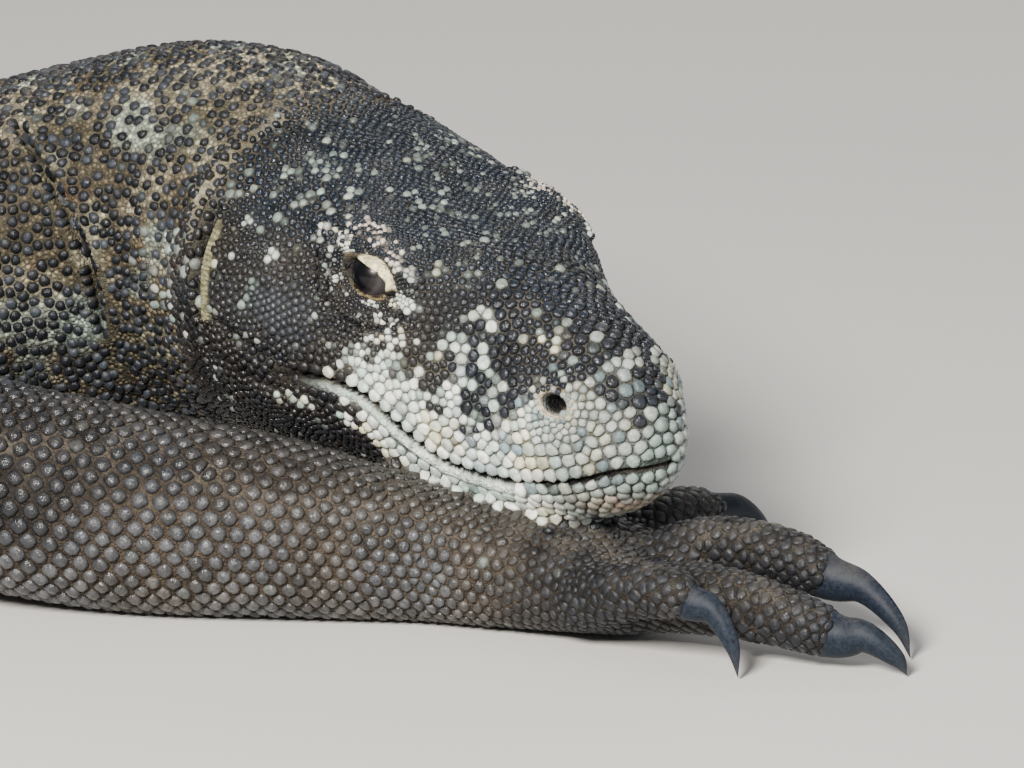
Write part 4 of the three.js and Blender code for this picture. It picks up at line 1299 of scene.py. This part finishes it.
def pale_colour(points, chance=None):
    """Chalk, mint and cream in drifts; pink over the eye, straw by the ear, lichen and rust in front."""
    local = mirrored(to_head(points))
    drift = lattice_noise(points, 13, 5) * 0.65 + lattice_noise(points, 4, 6) * 0.35
    colour = blend(MINT, CHALK, smooth_step((drift - 0.25) / 0.3))
    colour = blend(colour, CREAM, smooth_step((drift - 0.52) / 0.2))
    if chance is not None:
        odd = (chance * 37.7) % 1
        colour = blend(colour, ICE, smooth_step((odd - 0.72) / 0.2) * smooth_step((local[:, 0] - 90) / 60))
        colour = blend(colour, MINT, 0.8 * smooth_step((0.25 - odd) / 0.2))
    dull = smooth_step((local[:, 2] - 30) / 14) * (1 - bell(local, (80, 42, 50), (30, 12, 9)))
    colour = blend(colour, 0.42 * np.array(MINT), 0.8 * np.clip(dull, 0, 1))
    flush = 0.75 * bell(local, (76, 40, 54), (16, 9, 5)) + 0.5 * bell(local, (96, 40, 50), (9, 6, 4))
    colour = blend(colour, PINK, flush)
    colour = blend(colour, STRAW, 0.85 * bell(local, (15.5, 61, 25), (6, 10, 24)))
    front = smooth_step((local[:, 0] - 150) / 26)
    colour = blend(colour, LICHEN, 0.4 * front) * (1 - 0.42 * front)[:, None]
    stained = bell(local, (161, 28, 22.5), (5, 6, 3.2)) + 0.8 * bell(local, (178, 8, -17), (18, 16, 6))
    return blend(colour, RUST, np.clip(0.75 * stained * (0.4 + lattice_noise(points, 4, 8)), 0, 0.9))


# %% Dark scales and the skin between
def zone_shares(points, head):
    """Shares, from 0 to 1, of the neck, the right fore limb and the belly, given the head's share."""
    x, y, z = points[:, 0], points[:, 1], points[:, 2]
    arm = smooth_step((104 - y) / 20) * (x > -215) * (1 - head)
    neck = smooth_step((x + 250) / 110) * (1 - head) * (1 - arm)
    belly = smooth_step((34 - z) / 20) * smooth_step((-150 - x) / 80) * (y > 90) * (y < 440)
    return neck, arm, belly


def arm_painted_shade(points):
    """Painted shade on the right fore limb: darker over the elbow, along its upper edge and on the hand."""
    black = smooth_step((-50 - points[:, 0]) / 60) * smooth_step((points[:, 2] - 14) / 26)
    top = 0.6 * smooth_step((points[:, 2] - 40) / 16)
    hand = 0.95 * smooth_step((points[:, 0] - 46) / 40)
    return np.clip(0.95 * black + top + hand, 0, 0.95) * (0.75 + 0.4 * lattice_noise(points, 24, 14))


def dusky_blotches(points):
    """Irregular dusky blotches of the trunk, limbs and tail, most of them on the back."""
    back = 0.55 + 0.45 * smooth_step((points[:, 2] - 60) / 70)
    drift = lattice_noise(points, 46, 15) * 0.6 + lattice_noise(points, 17, 16) * 0.4
    return 0.85 * back * smooth_step((drift - 0.42) / 0.16)


def dark_colour(points, chance, head):
    """Blue-black crown, umber temple, slate cheek, charcoal neck, stone forearm with painted shade, and
    bark-brown trunk.
    """
    side = mirrored(to_head(points))
    neck, arm, belly = zone_shares(points, head)
    head = head * smooth_step((side[:, 0] + 14) / 24)
    wide = lattice_noise(points, 30, 11)
    fine = lattice_noise(points, 7, 12)
    on_head = blend(blend(UMBER, CHARCOAL, fine), BLUE_BLACK, smooth_step((side[:, 2] - 36) / 14))
    on_head = blend(on_head, SLATE, 0.7 * bell(side, (52, 58, 22), (16, 12, 10)))
    on_head = blend(on_head, UMBER, 0.6 * bell(side, (112, 42, 4), (26, 14, 12)))
    on_head = blend(on_head, BLUE_BLACK, 0.6 * smooth_step((side[:, 0] - 104) / 30))
    on_neck = blend(CHARCOAL, SLATE, 0.6 * smooth_step((chance - 0.45) / 0.5) * fine)
    on_arm = blend(blend(STONE, BARK, 0.75 * fine), SLATE, 0.5 * smooth_step((wide - 0.45) / 0.3))
    # painted shade: the forearm's scales turn charcoal over the elbow, along its upper edge and on the hand
    on_arm = blend(on_arm, CHARCOAL, arm_painted_shade(points))
    colour = blend(blend(BARK, CHARCOAL, 0.3 + 0.6 * wide), SLATE, 0.5 * fine * chance)
    colour = blend(colour, CHARCOAL, dusky_blotches(points))
    colour = blend(colour, TAN, 0.55 * belly)
    colour = blend(colour, on_arm, arm)
    colour = blend(colour, on_neck, neck)
    drift = 0.7 + 0.6 * lattice_noise(points, 11, 13)
    return blend(colour, on_head, head) * (0.7 + 0.6 * chance[:, None]) * drift[:, None]


def ground_colour(points, head):
    """Soft skin: dusky on the crown, tan, khaki, cream and rust on the neck, brown elsewhere; painted light
    on top of the neck, painted shade under it and on the fore limb.
    """
    neck, arm, belly = zone_shares(points, head)
    shown = head * smooth_step((to_head(points)[:, 0] + 14) / 30)
    wide, mid, fine = (lattice_noise(points, size, seed) for size, seed in ((34, 21), (14, 22), (3.5, 23)))
    on_head = blend(0.45 * np.array(UMBER), 0.5 * np.array(BARK), fine)
    on_head = blend(on_head, TAN, 0.8 * bell(mirrored(to_head(points)), (84, 41, 47), (14, 6, 4)))
    on_head = blend(on_head, 0.42 * pale_colour(points), 0.75 * pale_chance(points, head))
    on_neck = blend(blend(KHAKI, TAN, wide), CREAM, 0.55 * smooth_step((mid - 0.5) / 0.3) * fine)
    on_neck = blend(on_neck, MINT, 0.5 * smooth_step((lattice_noise(points, 18, 24) - 0.6) / 0.2))
    on_neck = blend(on_neck, RUST, 0.35 * smooth_step((lattice_noise(points, 15, 25) - 0.7) / 0.15))
    # painted light: patches of cream on the top of the neck
    lit = smooth_step((points[:, 2] - 132) / 20) * smooth_step((wide - 0.45) / 0.3)
    on_neck = blend(on_neck, CREAM, 0.3 * lit)
    # painted shade: umber on the underside of the neck
    under = smooth_step((80 - points[:, 2]) / 40)
    on_neck = blend(on_neck, UMBER, 0.65 * under)
    on_arm = blend(blend(0.6 * np.array(BARK), TAN, 0.55 * fine), UMBER, 0.4 * wide)
    # painted shade: near black on the fore limb's skin where its scales are darkened
    on_arm = blend(on_arm, SHADE_BLACK, 0.8 * arm_painted_shade(points))
    colour = blend(blend(BARK, KHAKI, wide), TAN, 0.35 * mid + 0.4 * belly)
    colour = blend(colour, UMBER, dusky_blotches(points))
    colour = blend(colour, on_arm, arm)
    colour = blend(colour, on_neck, np.maximum(neck, head * (1 - shown)))
    return blend(colour, on_head, shown)


def scale_colour(points, chance, head):
    """Pale where the scale's own random number is under the chance at its root, else dark."""
    pale = pale_chance(points, head)
    drawn = 0.72 * chance + 0.28 * lattice_noise(points, 4.5, 31)
    share = smooth_step((pale - drawn) / 0.24 + 0.5)
    shown = (0.84 + 0.3 * chance) * (1 - 0.5 * (1 - head))
    return blend(dark_colour(points, chance, head), pale_colour(points, chance) * shown[:, None], share)


# %% [markdown]
# ## Materials
# Horn is a dark, slightly glossy stuff with fine pits and a dusting of pale soil; the skin between is
# matt and wrinkled. Three small node groups give the shared effects: a mottle that varies any colour, a
# dust that settles where the surface faces up, and a grain that puts out a height for bump.

# %% Node helpers and shared groups
SOIL = (0.36, 0.31, 0.24, 1)


def new_group(name, inputs, outputs):
    """An empty shader group with named sockets, its input node and its output node."""
    group = bpy.data.node_groups.new(name, "ShaderNodeTree")
    for direction, sockets in (("INPUT", inputs), ("OUTPUT", outputs)):
        for socket, kind in sockets.items():
            group.interface.new_socket(name=socket, in_out=direction, socket_type="NodeSocket" + kind)
    return group, group.nodes.new("NodeGroupInput"), group.nodes.new("NodeGroupOutput")


def set_inputs(tree, node, values):
    """Give each named input of a node a number, a colour or another node's output."""
    for socket, value in values.items():
        if isinstance(value, bpy.types.NodeSocket):
            tree.links.new(value, node.inputs[socket])
        else:
            node.inputs[socket].default_value = value


def wire(tree, kind, values=None, **settings):
    """A new node with its settings and its inputs."""
    node = tree.nodes.new(kind)
    for setting, value in settings.items():
        setattr(node, setting, value)
    set_inputs(tree, node, values or {})
    return node


def maths(tree, operation, first, second):
    """The output of a Math node."""
    return wire(tree, "ShaderNodeMath", {0: first, 1: second}, operation=operation).outputs[0]


def mixed(tree, share, first, second, blend_type="MIX"):
    """The colour output of a Mix node."""
    return wire(tree, "ShaderNodeMix", {0: share, 6: first, 7: second}, data_type="RGBA",
                blend_type=blend_type).outputs[2]


def span(tree, value, low, high, to_low=0.0, to_high=1.0):
    """A value mapped smoothly from one range to another."""
    return wire(tree, "ShaderNodeMapRange", {"Value": value, "From Min": low, "From Max": high,
                                             "To Min": to_low, "To Max": to_high},
                interpolation_type="SMOOTHSTEP").outputs["Result"]


def noise(tree, scale, detail=3.0, roughness=0.55):
    """Noise on Object coordinates."""
    place = wire(tree, "ShaderNodeTexCoord").outputs["Object"]
    return wire(tree, "ShaderNodeTexNoise", {"Vector": place, "Scale": scale, "Detail": detail,
                                             "Roughness": roughness}).outputs["Fac"]


def mottle_group():
    """Colour times a factor between dark and light that follows two sizes of noise."""
    tree, enter, leave = new_group("mottle", {"Colour": "Color", "Amount": "Float"}, {"Colour": "Color"})
    coarse = span(tree, noise(tree, 420.0), 0.3, 0.7, 0.55, 1.4)
    fine = span(tree, noise(tree, 1900.0), 0.3, 0.7, 0.8, 1.2)
    factor = maths(tree, "MULTIPLY", coarse, fine)
    shade = wire(tree, "ShaderNodeCombineColor", {"Red": factor, "Green": factor, "Blue": factor}).outputs[0]
    full = mixed(tree, 1.0, enter.outputs["Colour"], shade, "MULTIPLY")
    varied = mixed(tree, enter.outputs["Amount"], enter.outputs["Colour"], full)
    set_inputs(tree, leave, {"Colour": varied})
    return tree


def dust_group():
    """Pale soil where the surface faces up, broken by noise."""
    tree, enter, leave = new_group("dust", {"Colour": "Color", "Amount": "Float"},
                                   {"Colour": "Color", "Mask": "Float"})
    normal = wire(tree, "ShaderNodeNewGeometry").outputs["Normal"]
    facing = wire(tree, "ShaderNodeSeparateXYZ", {0: normal}).outputs["Z"]
    patchy = span(tree, noise(tree, 60.0, 6.0, 0.7), 0.42, 0.68)
    raised = span(tree, facing, 0.1, 0.95)
    settled = maths(tree, "MULTIPLY", patchy, raised)
    mask = maths(tree, "MULTIPLY", settled, enter.outputs["Amount"])
    dusty = mixed(tree, mask, enter.outputs["Colour"], SOIL)
    set_inputs(tree, leave, {"Colour": dusty, "Mask": mask})
    return tree


def grain_group():
    """Height of fine pits and creases: cell edges of one size and noise of another."""
    tree, enter, leave = new_group("grain", {"Size": "Float"}, {"Height": "Float"})
    place = wire(tree, "ShaderNodeTexCoord").outputs["Object"]
    cells = wire(tree, "ShaderNodeTexVoronoi", {"Vector": place, "Scale": enter.outputs["Size"]},
                 feature="DISTANCE_TO_EDGE").outputs["Distance"]
    edges = span(tree, cells, 0.0, 0.25)
    rough = noise(tree, 1500.0, 4.0)
    set_inputs(tree, leave, {"Height": maths(tree, "ADD", edges, rough)})
    return tree


MOTTLE, DUST, GRAIN = mottle_group(), dust_group(), grain_group()


def fill_group(tree, group, values):
    """A group node whose inputs are set by name."""
    return wire(tree, "ShaderNodeGroup", values, node_tree=group)


def attribute(tree, name, output="Color"):
    """A named attribute of the piece's own mesh."""
    return wire(tree, "ShaderNodeAttribute", attribute_name=name).outputs[output]


def add_bump(tree, shader, height, strength, distance):
    """Bump from a height into the shader's Normal."""
    bump = wire(tree, "ShaderNodeBump", {"Height": height, "Strength": strength, "Distance": distance})
    set_inputs(tree, shader, {"Normal": bump.outputs["Normal"]})


# %% Skin and scale materials
# painted shade: the soft skin's colour is darkened by this at the rim of each scale
RIM_SHADE = (0.36, 0.34, 0.33, 1)  # the soft skin's colour is darkened by this at the rim of a scale


def skin_material():
    """Matt skin between the scales: its own colour, mottled, dusty and finely creased."""
    material, tree, shader = start_material("skin_between_scales")
    colour = fill_group(tree, MOTTLE, {"Colour": attribute(tree, "ground"), "Amount": 0.7}).outputs["Colour"]
    dusty = fill_group(tree, DUST, {"Colour": colour, "Amount": 0.25}).outputs["Colour"]
    set_inputs(tree, shader, {"Base Color": dusty, "Roughness": 0.72, "Specular IOR Level": 0.2})
    grain = fill_group(tree, GRAIN, {"Size": 620.0}).outputs["Height"]
    add_bump(tree, shader, grain, 0.8, 0.0006)
    return material


def scale_material(name, dust, low, high, mottle, shine):
    """Horn: the soft skin's colour darkened as painted shade at the rim, the scale's own on its dome, with a
    worn gloss.
    """
    material, tree, shader = start_material(name)
    rise = attribute(tree, "rise", "Fac")
    # painted shade at the rim of a scale
    rim = mixed(tree, 1.0, attribute(tree, "ground"), RIM_SHADE, "MULTIPLY")
    colour = mixed(tree, span(tree, rise, 0.0, 0.36), rim, attribute(tree, "tint"))
    colour = fill_group(tree, MOTTLE, {"Colour": colour, "Amount": mottle}).outputs["Colour"]
    dusty = fill_group(tree, DUST, {"Colour": colour, "Amount": dust}).outputs["Colour"]
    worn = span(tree, noise(tree, 700.0), 0.3, 0.75, low, high)
    set_inputs(tree, shader, {"Base Color": dusty, "Roughness": worn, "Specular IOR Level": shine})
    grain = fill_group(tree, GRAIN, {"Size": 1400.0}).outputs["Height"]
    add_bump(tree, shader, grain, 0.35, 0.00025)
    return material


SKIN_MATERIAL = skin_material()
# name, dust, lowest and highest roughness, mottle, shine
FACE_SCALES = scale_material("face_scales", 0.04, 0.15, 0.34, 0.6, 0.4)
NECK_SCALES = scale_material("neck_scales", 0.12, 0.22, 0.42, 0.6, 0.28)
LIMB_SCALES = scale_material("limb_scales", 0.07, 0.17, 0.34, 0.9, 0.46)
BODY_SCALES = scale_material("body_scales", 0.12, 0.28, 0.48, 0.8, 0.26)


def add_colour(mesh, name, colours):
    """A colour for each vertex of a mesh."""
    layer = mesh.attributes.new(name, "FLOAT_COLOR", "POINT")
    four = np.column_stack([colours, np.ones(len(colours))]).astype(np.float32)
    layer.data.foreach_set("color", four.ravel())


def add_value(mesh, name, values):
    """A number for each vertex of a mesh."""
    mesh.attributes.new(name, "FLOAT", "POINT").data.foreach_set("value", values.astype(np.float32))


def head_share(points):
    """Share of the head at points of the skin: how many of the nearest sites are the head's."""
    nearest, _ = nearest_of(sites[:, PLACE], points, 4)
    return (sites[nearest, PART] < 0).mean(1)


def paint_eye(colour, points, local):
    """Lids pale over the front of the eye and painted shade on them behind it, in a darkened ring, round an
    opening painted black as shade.
    """
    along, across, out, ratio, margin = eye_place(local)
    width = lid_width(along, across)[0]
    front = out > EYE_FRONT
    lit = smooth_step((along + 6.5) / 5)
    stains = smooth_step((lattice_noise(points, 2.6, 51) - 0.62) / 0.25)
    band = blend(LID_LOW, LID_HIGH, smooth_step((across + 0.6) / 1.5))
    # painted shade: the lids turn dark behind the eye
    band = blend(LID_BEHIND_SHADE, band, 0.04 + 0.96 * lit)
    band = blend(band, LID_STAIN, 0.6 * stains)
    band = blend(band, LID_EDGE, 0.7 * smooth_step((margin - width + 0.5) / 0.5))
    colour = blend(colour, SHADE_BLACK, 0.8 * smooth_step((width + 6 - margin) / 3) * front)
    colour = blend(colour, band, smooth_step((width + 0.5 - margin) / 0.4) * front)
    # painted shade in the opening between the lids and the eyeball
    colour = blend(colour, SHADE_BLACK, smooth_step((1.02 - ratio) / 0.05) * (out > 2 * EYE_FRONT))
    # painted shade in the groove at the eye's front corner
    corner = path_distance(local, finer(HEAD_GROOVES["front_corner"][0]))
    return blend(colour, SHADE_BLACK, smooth_step((2.2 - corner) / 1.2))


def paint_lips(colour, points, local):
    """A pale, creased rim on the lower lip and a line of painted shade between the lips."""
    x, over = local[:, 0], above_lips(local)
    rim_half = 2.9 + 0.9 * smooth_step((x - 80) / 25)
    rim = smooth_step((rim_half - np.abs(over + rim_half - 1.3)) / 0.6) * smooth_step((x - 62) / 20)
    rim = rim * (1 - smooth_step((x - RIM_END) / 10))
    colour = blend(colour, blend(MINT, CHALK, lattice_noise(points, 7, 52)), rim)
    creases = smooth_step((lattice_noise(points * (1, 1, 0.4), 1.5, 54) - 0.62) / 0.2)
    colour = blend(colour, 0.5 * colour, 0.6 * creases * rim)
    # painted shade in the groove between the lips
    line = smooth_step((1.45 - np.abs(over)) / 0.4) * smooth_step((x - 44) / 10)
    return blend(colour, 0.5 * np.array(SHADE_BLACK), line)


def paint_ear(colour, points, local):
    """A striped straw and umber rim in front of the ear's slit, which is painted black as shade."""
    stripes = smooth_step(np.abs(np.sin(local[:, 2] * 1.9 + 3 * lattice_noise(points, 4, 53))) - 0.2)
    striped = blend(UMBER, 0.75 * np.array(STRAW), 0.35 + 0.65 * stripes)
    rim = smooth_step((3.1 - path_distance(local, finer(EAR_RIM))) / 0.9)
    colour = blend(colour, striped, 0.85 * rim)
    # painted shade in the slit of the ear
    return blend(colour, SHADE_BLACK, smooth_step((2.9 - path_distance(local, finer(EAR_SLIT))) / 1.2))


def paint_nostril(colour, points):
    """Cream and rust on the swollen ring, painted shade in the pit."""
    ring = blend(CREAM, RUST, lattice_noise(points, 3, 55))
    colour = blend(colour, ring, smooth_step((pit_depth - 0.3) / 0.4) * 0.8)
    # painted shade in the pit of the nostril
    return blend(colour, 0.5 * np.array(SHADE_BLACK), smooth_step((-pit_depth - 0.5) / 1.0))


def skin_colour(points):
    """The ground colour, darker on the neck, with painted shade in its folds, then the eyes, lips, ears and
    nostrils.
    """
    share = head_share(points)
    colour = ground_colour(points, share)
    colour = blend(colour, 0.45 * colour, zone_shares(points, share)[0])
    local = mirrored(to_head(points))
    for paint in (paint_eye, paint_lips, paint_ear):
        colour = paint(colour, points, local)
    # painted shade in the folds of the neck
    folds = np.min([path_distance(points, finer(row[0])) / row[1] for row in BODY_GROOVES.values()], axis=0)
    colour = blend(colour, SHADE_BLACK, 0.9 * smooth_step((1.3 - folds) / 0.8))
    return paint_nostril(colour, points)


add_colour(skin_mesh, "ground", skin_colour(mesh_points(skin_mesh)))
skin_mesh.materials.append(SKIN_MATERIAL)

# %% [markdown]
# ## The coat
# The sites are dealt into pieces by the part they grow on, and each piece is one mesh. The right side
# of the head, the neck and the right arm get finer domes. Each scale keeps a small patch of its own on
# the unwrap, placed by how far along and how far round its part of the body it grows.

# %% Coat pieces
NEAR_MANY = 12  # neighbours that bound a scale
FLAT_FROM, FLAT_TO = 3.6, 5.0  # head scales between these sizes turn from beads to flat plates
# coat pieces of the spine: share of its length where each starts and ends
SPINE_PIECES = {
    "neck": (0, 0.25), "trunk_front": (0.25, 0.41), "trunk_rear": (0.41, 0.58), "tail": (0.58, 1.01),
}


def limb_piece(name):
    """The coat piece of a length of a limb or paw, by its name."""
    limb = "arm" if "arm" in name or "hand" in name else "leg"
    return f"scales_{limb}_" + ("right" if "right" in name else "left")


def piece_names(sites):
    """The coat piece each site belongs to, and the name of the part it grows on."""
    names = np.array(["head"] + tube_names, dtype=object)[sites[:, PART].astype(int) + 1]
    result = np.array([limb_piece(name) for name in names], dtype=object)
    for piece, (low, high) in SPINE_PIECES.items():
        result[(names == "spine") & (sites[:, SHARE] >= low) & (sites[:, SHARE] < high)] = "scales_" + piece
    result[np.arange(len(sites)) >= coarse_many] = "scales_granules"
    result[[name.startswith("hand_right") for name in names]] = "scales_hand_right"
    right = to_head(sites[:, PLACE])[:, 1] < 0
    result[(names == "head") & right] = "scales_head_right"
    result[(names == "head") & ~right] = "scales_head_left"
    return result, names


def unwrap_roots(sites, names):
    """Root of each patch: along the part across the map, round it up the map, parts in bands."""
    bands, band = np.unique(names.astype(str), return_inverse=True)
    height = 1 / len(bands)
    return np.column_stack([0.02 + 0.96 * np.clip(sites[:, SHARE], 0, 1),
                            (band + 0.04 + 0.92 * (sites[:, ROUND] % 1)) * height])


def coat_piece(name, numbers, fine, corners, material):
    """One mesh of all the scales whose numbers are given."""
    chosen, chance = sites[numbers], site_chance[numbers]
    head = (chosen[:, PART] < 0).astype(float)
    flat = smooth_step((chosen[:, ALONG] * head - FLAT_FROM) / (FLAT_TO - FLAT_FROM))
    rings = FINE_RINGS if fine else PLAIN_RINGS
    points, patch, rise = domes(chosen, near_sites[numbers], rings, corners, flat, sites)
    per = points.shape[1]
    points = points.reshape(-1, 3)
    points[:, 2] = np.maximum(points[:, 2], FLOOR_GAP)
    faces = dome_faces(len(chosen), len(rings), corners)
    mesh = new_mesh(name, points, faces)
    ground = ground_colour(chosen[:, PLACE], head)
    if name == "scales_granules":
        tint = ground * (0.35 + 0.9 * chance[:, None])
    else:
        tint = scale_colour(chosen[:, PLACE], chance, head)
    add_colour(mesh, "tint", np.repeat(tint, per, axis=0))
    add_colour(mesh, "ground", np.repeat(ground, per, axis=0))
    add_value(mesh, "rise", rise)
    roots = unwrap_roots(chosen, part_names[numbers])
    unwrap = (roots[:, None] + patch).reshape(-1, 2)
    loops = unwrap[np.concatenate([group.ravel() for group in faces])]
    loops[:len(chosen) * corners] = np.repeat(roots, corners, axis=0)  # a base has no area on the map
    mesh.uv_layers.new(name="OFBake").data.foreach_set("uv", loops.astype(np.float32).ravel())
    smooth_shaded(mesh)
    mesh.materials.append(material)
    piece = new_object(name, mesh)
    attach(piece, "root")
    triangles = sum(len(group) * (group.shape[1] - 2) for group in faces)
    print(f"{name}: {len(chosen)} scales, {triangles} triangles")


near_sites = neighbours(sites[:, PLACE], NEAR_MANY)
stands = is_open(sites[:, PLACE])
print(len(sites), "sites,", stands.sum(), "of them with a scale")
site_chance = rng.uniform(0, 1, len(sites))
coat_names, part_names = piece_names(sites)
# coat piece: whether its domes are fine, corners of an outline, material
COAT_PIECES = {
    "scales_head_right": (True, 9, FACE_SCALES), "scales_head_left": (False, 8, FACE_SCALES),
    "scales_neck": (True, 8, NECK_SCALES), "scales_granules": (False, 5, BODY_SCALES),
    "scales_arm_right": (True, 8, LIMB_SCALES), "scales_hand_right": (True, 8, BODY_SCALES),
    "scales_arm_left": (False, 6, BODY_SCALES), "scales_leg_right": (False, 6, BODY_SCALES),
    "scales_leg_left": (False, 6, BODY_SCALES), "scales_trunk_front": (False, 6, BODY_SCALES),
    "scales_trunk_rear": (False, 6, BODY_SCALES), "scales_tail": (False, 6, BODY_SCALES),
}
for coat_name, coat_values in COAT_PIECES.items():
    coat_piece(coat_name, np.flatnonzero((coat_names == coat_name) & stands), *coat_values)

# %% [markdown]
# ## Eyes
# The eyeball is a closed sphere with a wet coat. Its pupil is wide and nearly black, the iris a
# scarcely paler ring, and the rest of the ball a dark grey that is seldom seen.

# %% Eyes
PUPIL, IRIS, BALL = (0.002, 0.002, 0.003, 1), (0.012, 0.01, 0.01, 1), (0.036, 0.033, 0.035, 1)
BULGE = 0.035  # how far the front of the ball is drawn out, as a share of its radius


def eye_material():
    """Pupil, iris and the dark rest of the ball by the angle from the gaze, under a wet coat."""
    material, tree, shader = start_material("wet_eye")
    angle = attribute(tree, "from_axis", "Fac")
    streaks = maths(tree, "MULTIPLY", noise(tree, 1200.0), 0.16)
    wavy = maths(tree, "ADD", angle, streaks)
    iris = mixed(tree, span(tree, wavy, 0.78, 0.92), PUPIL, IRIS)
    colour = mixed(tree, span(tree, wavy, 0.98, 1.15), iris, BALL)
    set_inputs(tree, shader, {"Base Color": colour, "Roughness": 0.3, "Specular IOR Level": 0.2,
                              "Coat Weight": 0.16, "Coat Roughness": 0.05})
    return material


GAZE = unit(EYE_OUT - 0.26 * EYE_LONG + 0.06 * EYE_ACROSS)  # it looks a little to the rear
GAZE_LONG = unit(EYE_LONG - (EYE_LONG @ GAZE) * GAZE)
GAZE_ACROSS = np.cross(GAZE, GAZE_LONG)


def eyeball(side):
    """Sphere in polar form round the way the eye looks, its front drawn out by a low bulge."""
    polar = np.linspace(0, np.pi, 33)[1:-1]
    turn = np.linspace(0, 2 * np.pi, 48, endpoint=False)
    polar, turn = np.meshgrid(polar, turn, indexing="ij")
    radius = EYE["radius"] * (1 + BULGE * np.exp(-(polar / 0.55) ** 2))
    local = (np.cos(polar)[..., None] * GAZE + (np.sin(polar) * np.cos(turn))[..., None] * GAZE_LONG
             + (np.sin(polar) * np.sin(turn))[..., None] * GAZE_ACROSS) * radius[..., None]
    poles = np.array([(1 + BULGE) * GAZE, -GAZE]) * EYE["radius"]
    local = (np.vstack([local.reshape(-1, 3), poles]) + EYE["centre"]) * (1, side, 1)
    quads, fans = grid_faces(*polar.shape), end_fans(*polar.shape)
    turned = np.linalg.det(np.array([GAZE, GAZE_LONG, GAZE_ACROSS])) * side
    if turned > 0:
        quads, fans = quads[:, ::-1], fans[:, ::-1]
    mesh = new_mesh("eye", from_head(local), [quads, fans])
    add_value(mesh, "from_axis", np.concatenate([polar.ravel(), [0, np.pi]]))
    return mesh


EYE_MATERIAL = eye_material()
for eye_side, sign in (("right", -1), ("left", 1)):
    eye_mesh = eyeball(sign)
    eye_mesh.materials.append(EYE_MATERIAL)
    smooth_shaded(eye_mesh)
    ball = new_object(f"eyeball_{eye_side}", eye_mesh)
    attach(ball, "root")
    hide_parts(f"eye_{eye_side}")
print("two eyes of", len(eye_mesh.polygons), "faces")

# %% [markdown]
# ## Claws
# A claw is a curved cone, higher than wide, with a ridge along its back, dark slate with streaks and a
# worn, paler tip. It starts inside the toe, so the skin closes round its root.

# %% Claws
SLATE_HORN, STREAK, WORN_TIP = (0.006, 0.009, 0.015, 1), (0.02, 0.027, 0.04, 1), (0.06, 0.06, 0.058, 1)
CLAW_NARROW = 0.8  # width of a claw as a share of its height
CLAW_SUNK = 1.18  # rows by which a claw starts before the end of its toe's table


def claw_material():
    """Slate horn with streaks of noise, paler towards the worn tip."""
    material, tree, shader = start_material("claw_horn")
    along = attribute(tree, "along", "Fac")
    streak = noise(tree, 900.0, 5.0, 0.7)
    colour = mixed(tree, span(tree, streak, 0.3, 0.75), SLATE_HORN, STREAK)
    colour = mixed(tree, span(tree, along, 0.6, 1.1, 0.0, 0.5), colour, WORN_TIP)
    dusty = fill_group(tree, DUST, {"Colour": colour, "Amount": 0.1}).outputs["Colour"]
    worn = span(tree, streak, 0.2, 0.8, 0.38, 0.6)
    set_inputs(tree, shader, {"Base Color": dusty, "Roughness": worn, "Specular IOR Level": 0.14})
    add_bump(tree, shader, streak, 0.4, 0.0003)
    return material


def claw_surface(rows, start):
    """Tube through the claw's rows whose section narrows to a ridge above; also the share of the way."""
    last = len(rows) - 1
    keys = start + (last - start) * np.linspace(0, 1, 26) ** 0.9
    angles = np.linspace(0, 2 * np.pi, 20, endpoint=False)
    rings = tube_surface(rows)(keys[:, None], angles[None, :])
    middle = rings.mean(1, keepdims=True)
    rounding = np.sqrt(np.clip(1 - ((keys - start) / (last - start)) ** 8, 0.02, 1))[:, None, None]
    pinch = 1 - 0.3 * np.maximum(np.sin(angles), 0) ** 1.5 * (np.abs(np.cos(angles)) > 0.05)
    flat = (rings - middle) * rounding
    upward = flat * (0, 0, 1)
    return middle + (flat - upward) * pinch[None, :, None] + upward, (keys - start) / (last - start)


CLAW_MATERIAL = claw_material()
for paw_name in PAWS:
    for number, (flesh_rows, root, claw_rows) in enumerate(DIGITS, 1):
        toe_rows = flesh_rows[:-1] + [(*flesh_rows[-1][:3], root)] + claw_rows
        rows = paw_rows(round_rows(toe_rows, CLAW_NARROW), paw_name)
        rings, along_claw = claw_surface(rows, len(flesh_rows) - CLAW_SUNK)
        many, around = rings.shape[:2]
        claw_points = np.vstack([rings.reshape(-1, 3), rings[0].mean(0), rings[-1].mean(0)])
        claw_points[:, 2] = np.maximum(claw_points[:, 2], FLOOR_GAP)
        claw_mesh = new_mesh("talon", claw_points, [grid_faces(many, around), end_fans(many, around)])
        add_value(claw_mesh, "along", np.concatenate([np.repeat(along_claw, around), [0, 1]]))
        smooth_shaded(claw_mesh)
        claw_mesh.materials.append(CLAW_MATERIAL)
        talon = new_object(f"talon_{paw_name}_{number}", claw_mesh)
        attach(talon, "root")
        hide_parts(f"claw_{paw_name}_{number}")
print("20 claws of", len(claw_mesh.polygons), "faces")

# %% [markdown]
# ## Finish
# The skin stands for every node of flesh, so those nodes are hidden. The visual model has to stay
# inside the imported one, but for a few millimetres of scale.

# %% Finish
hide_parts(*FLESH_NODES)
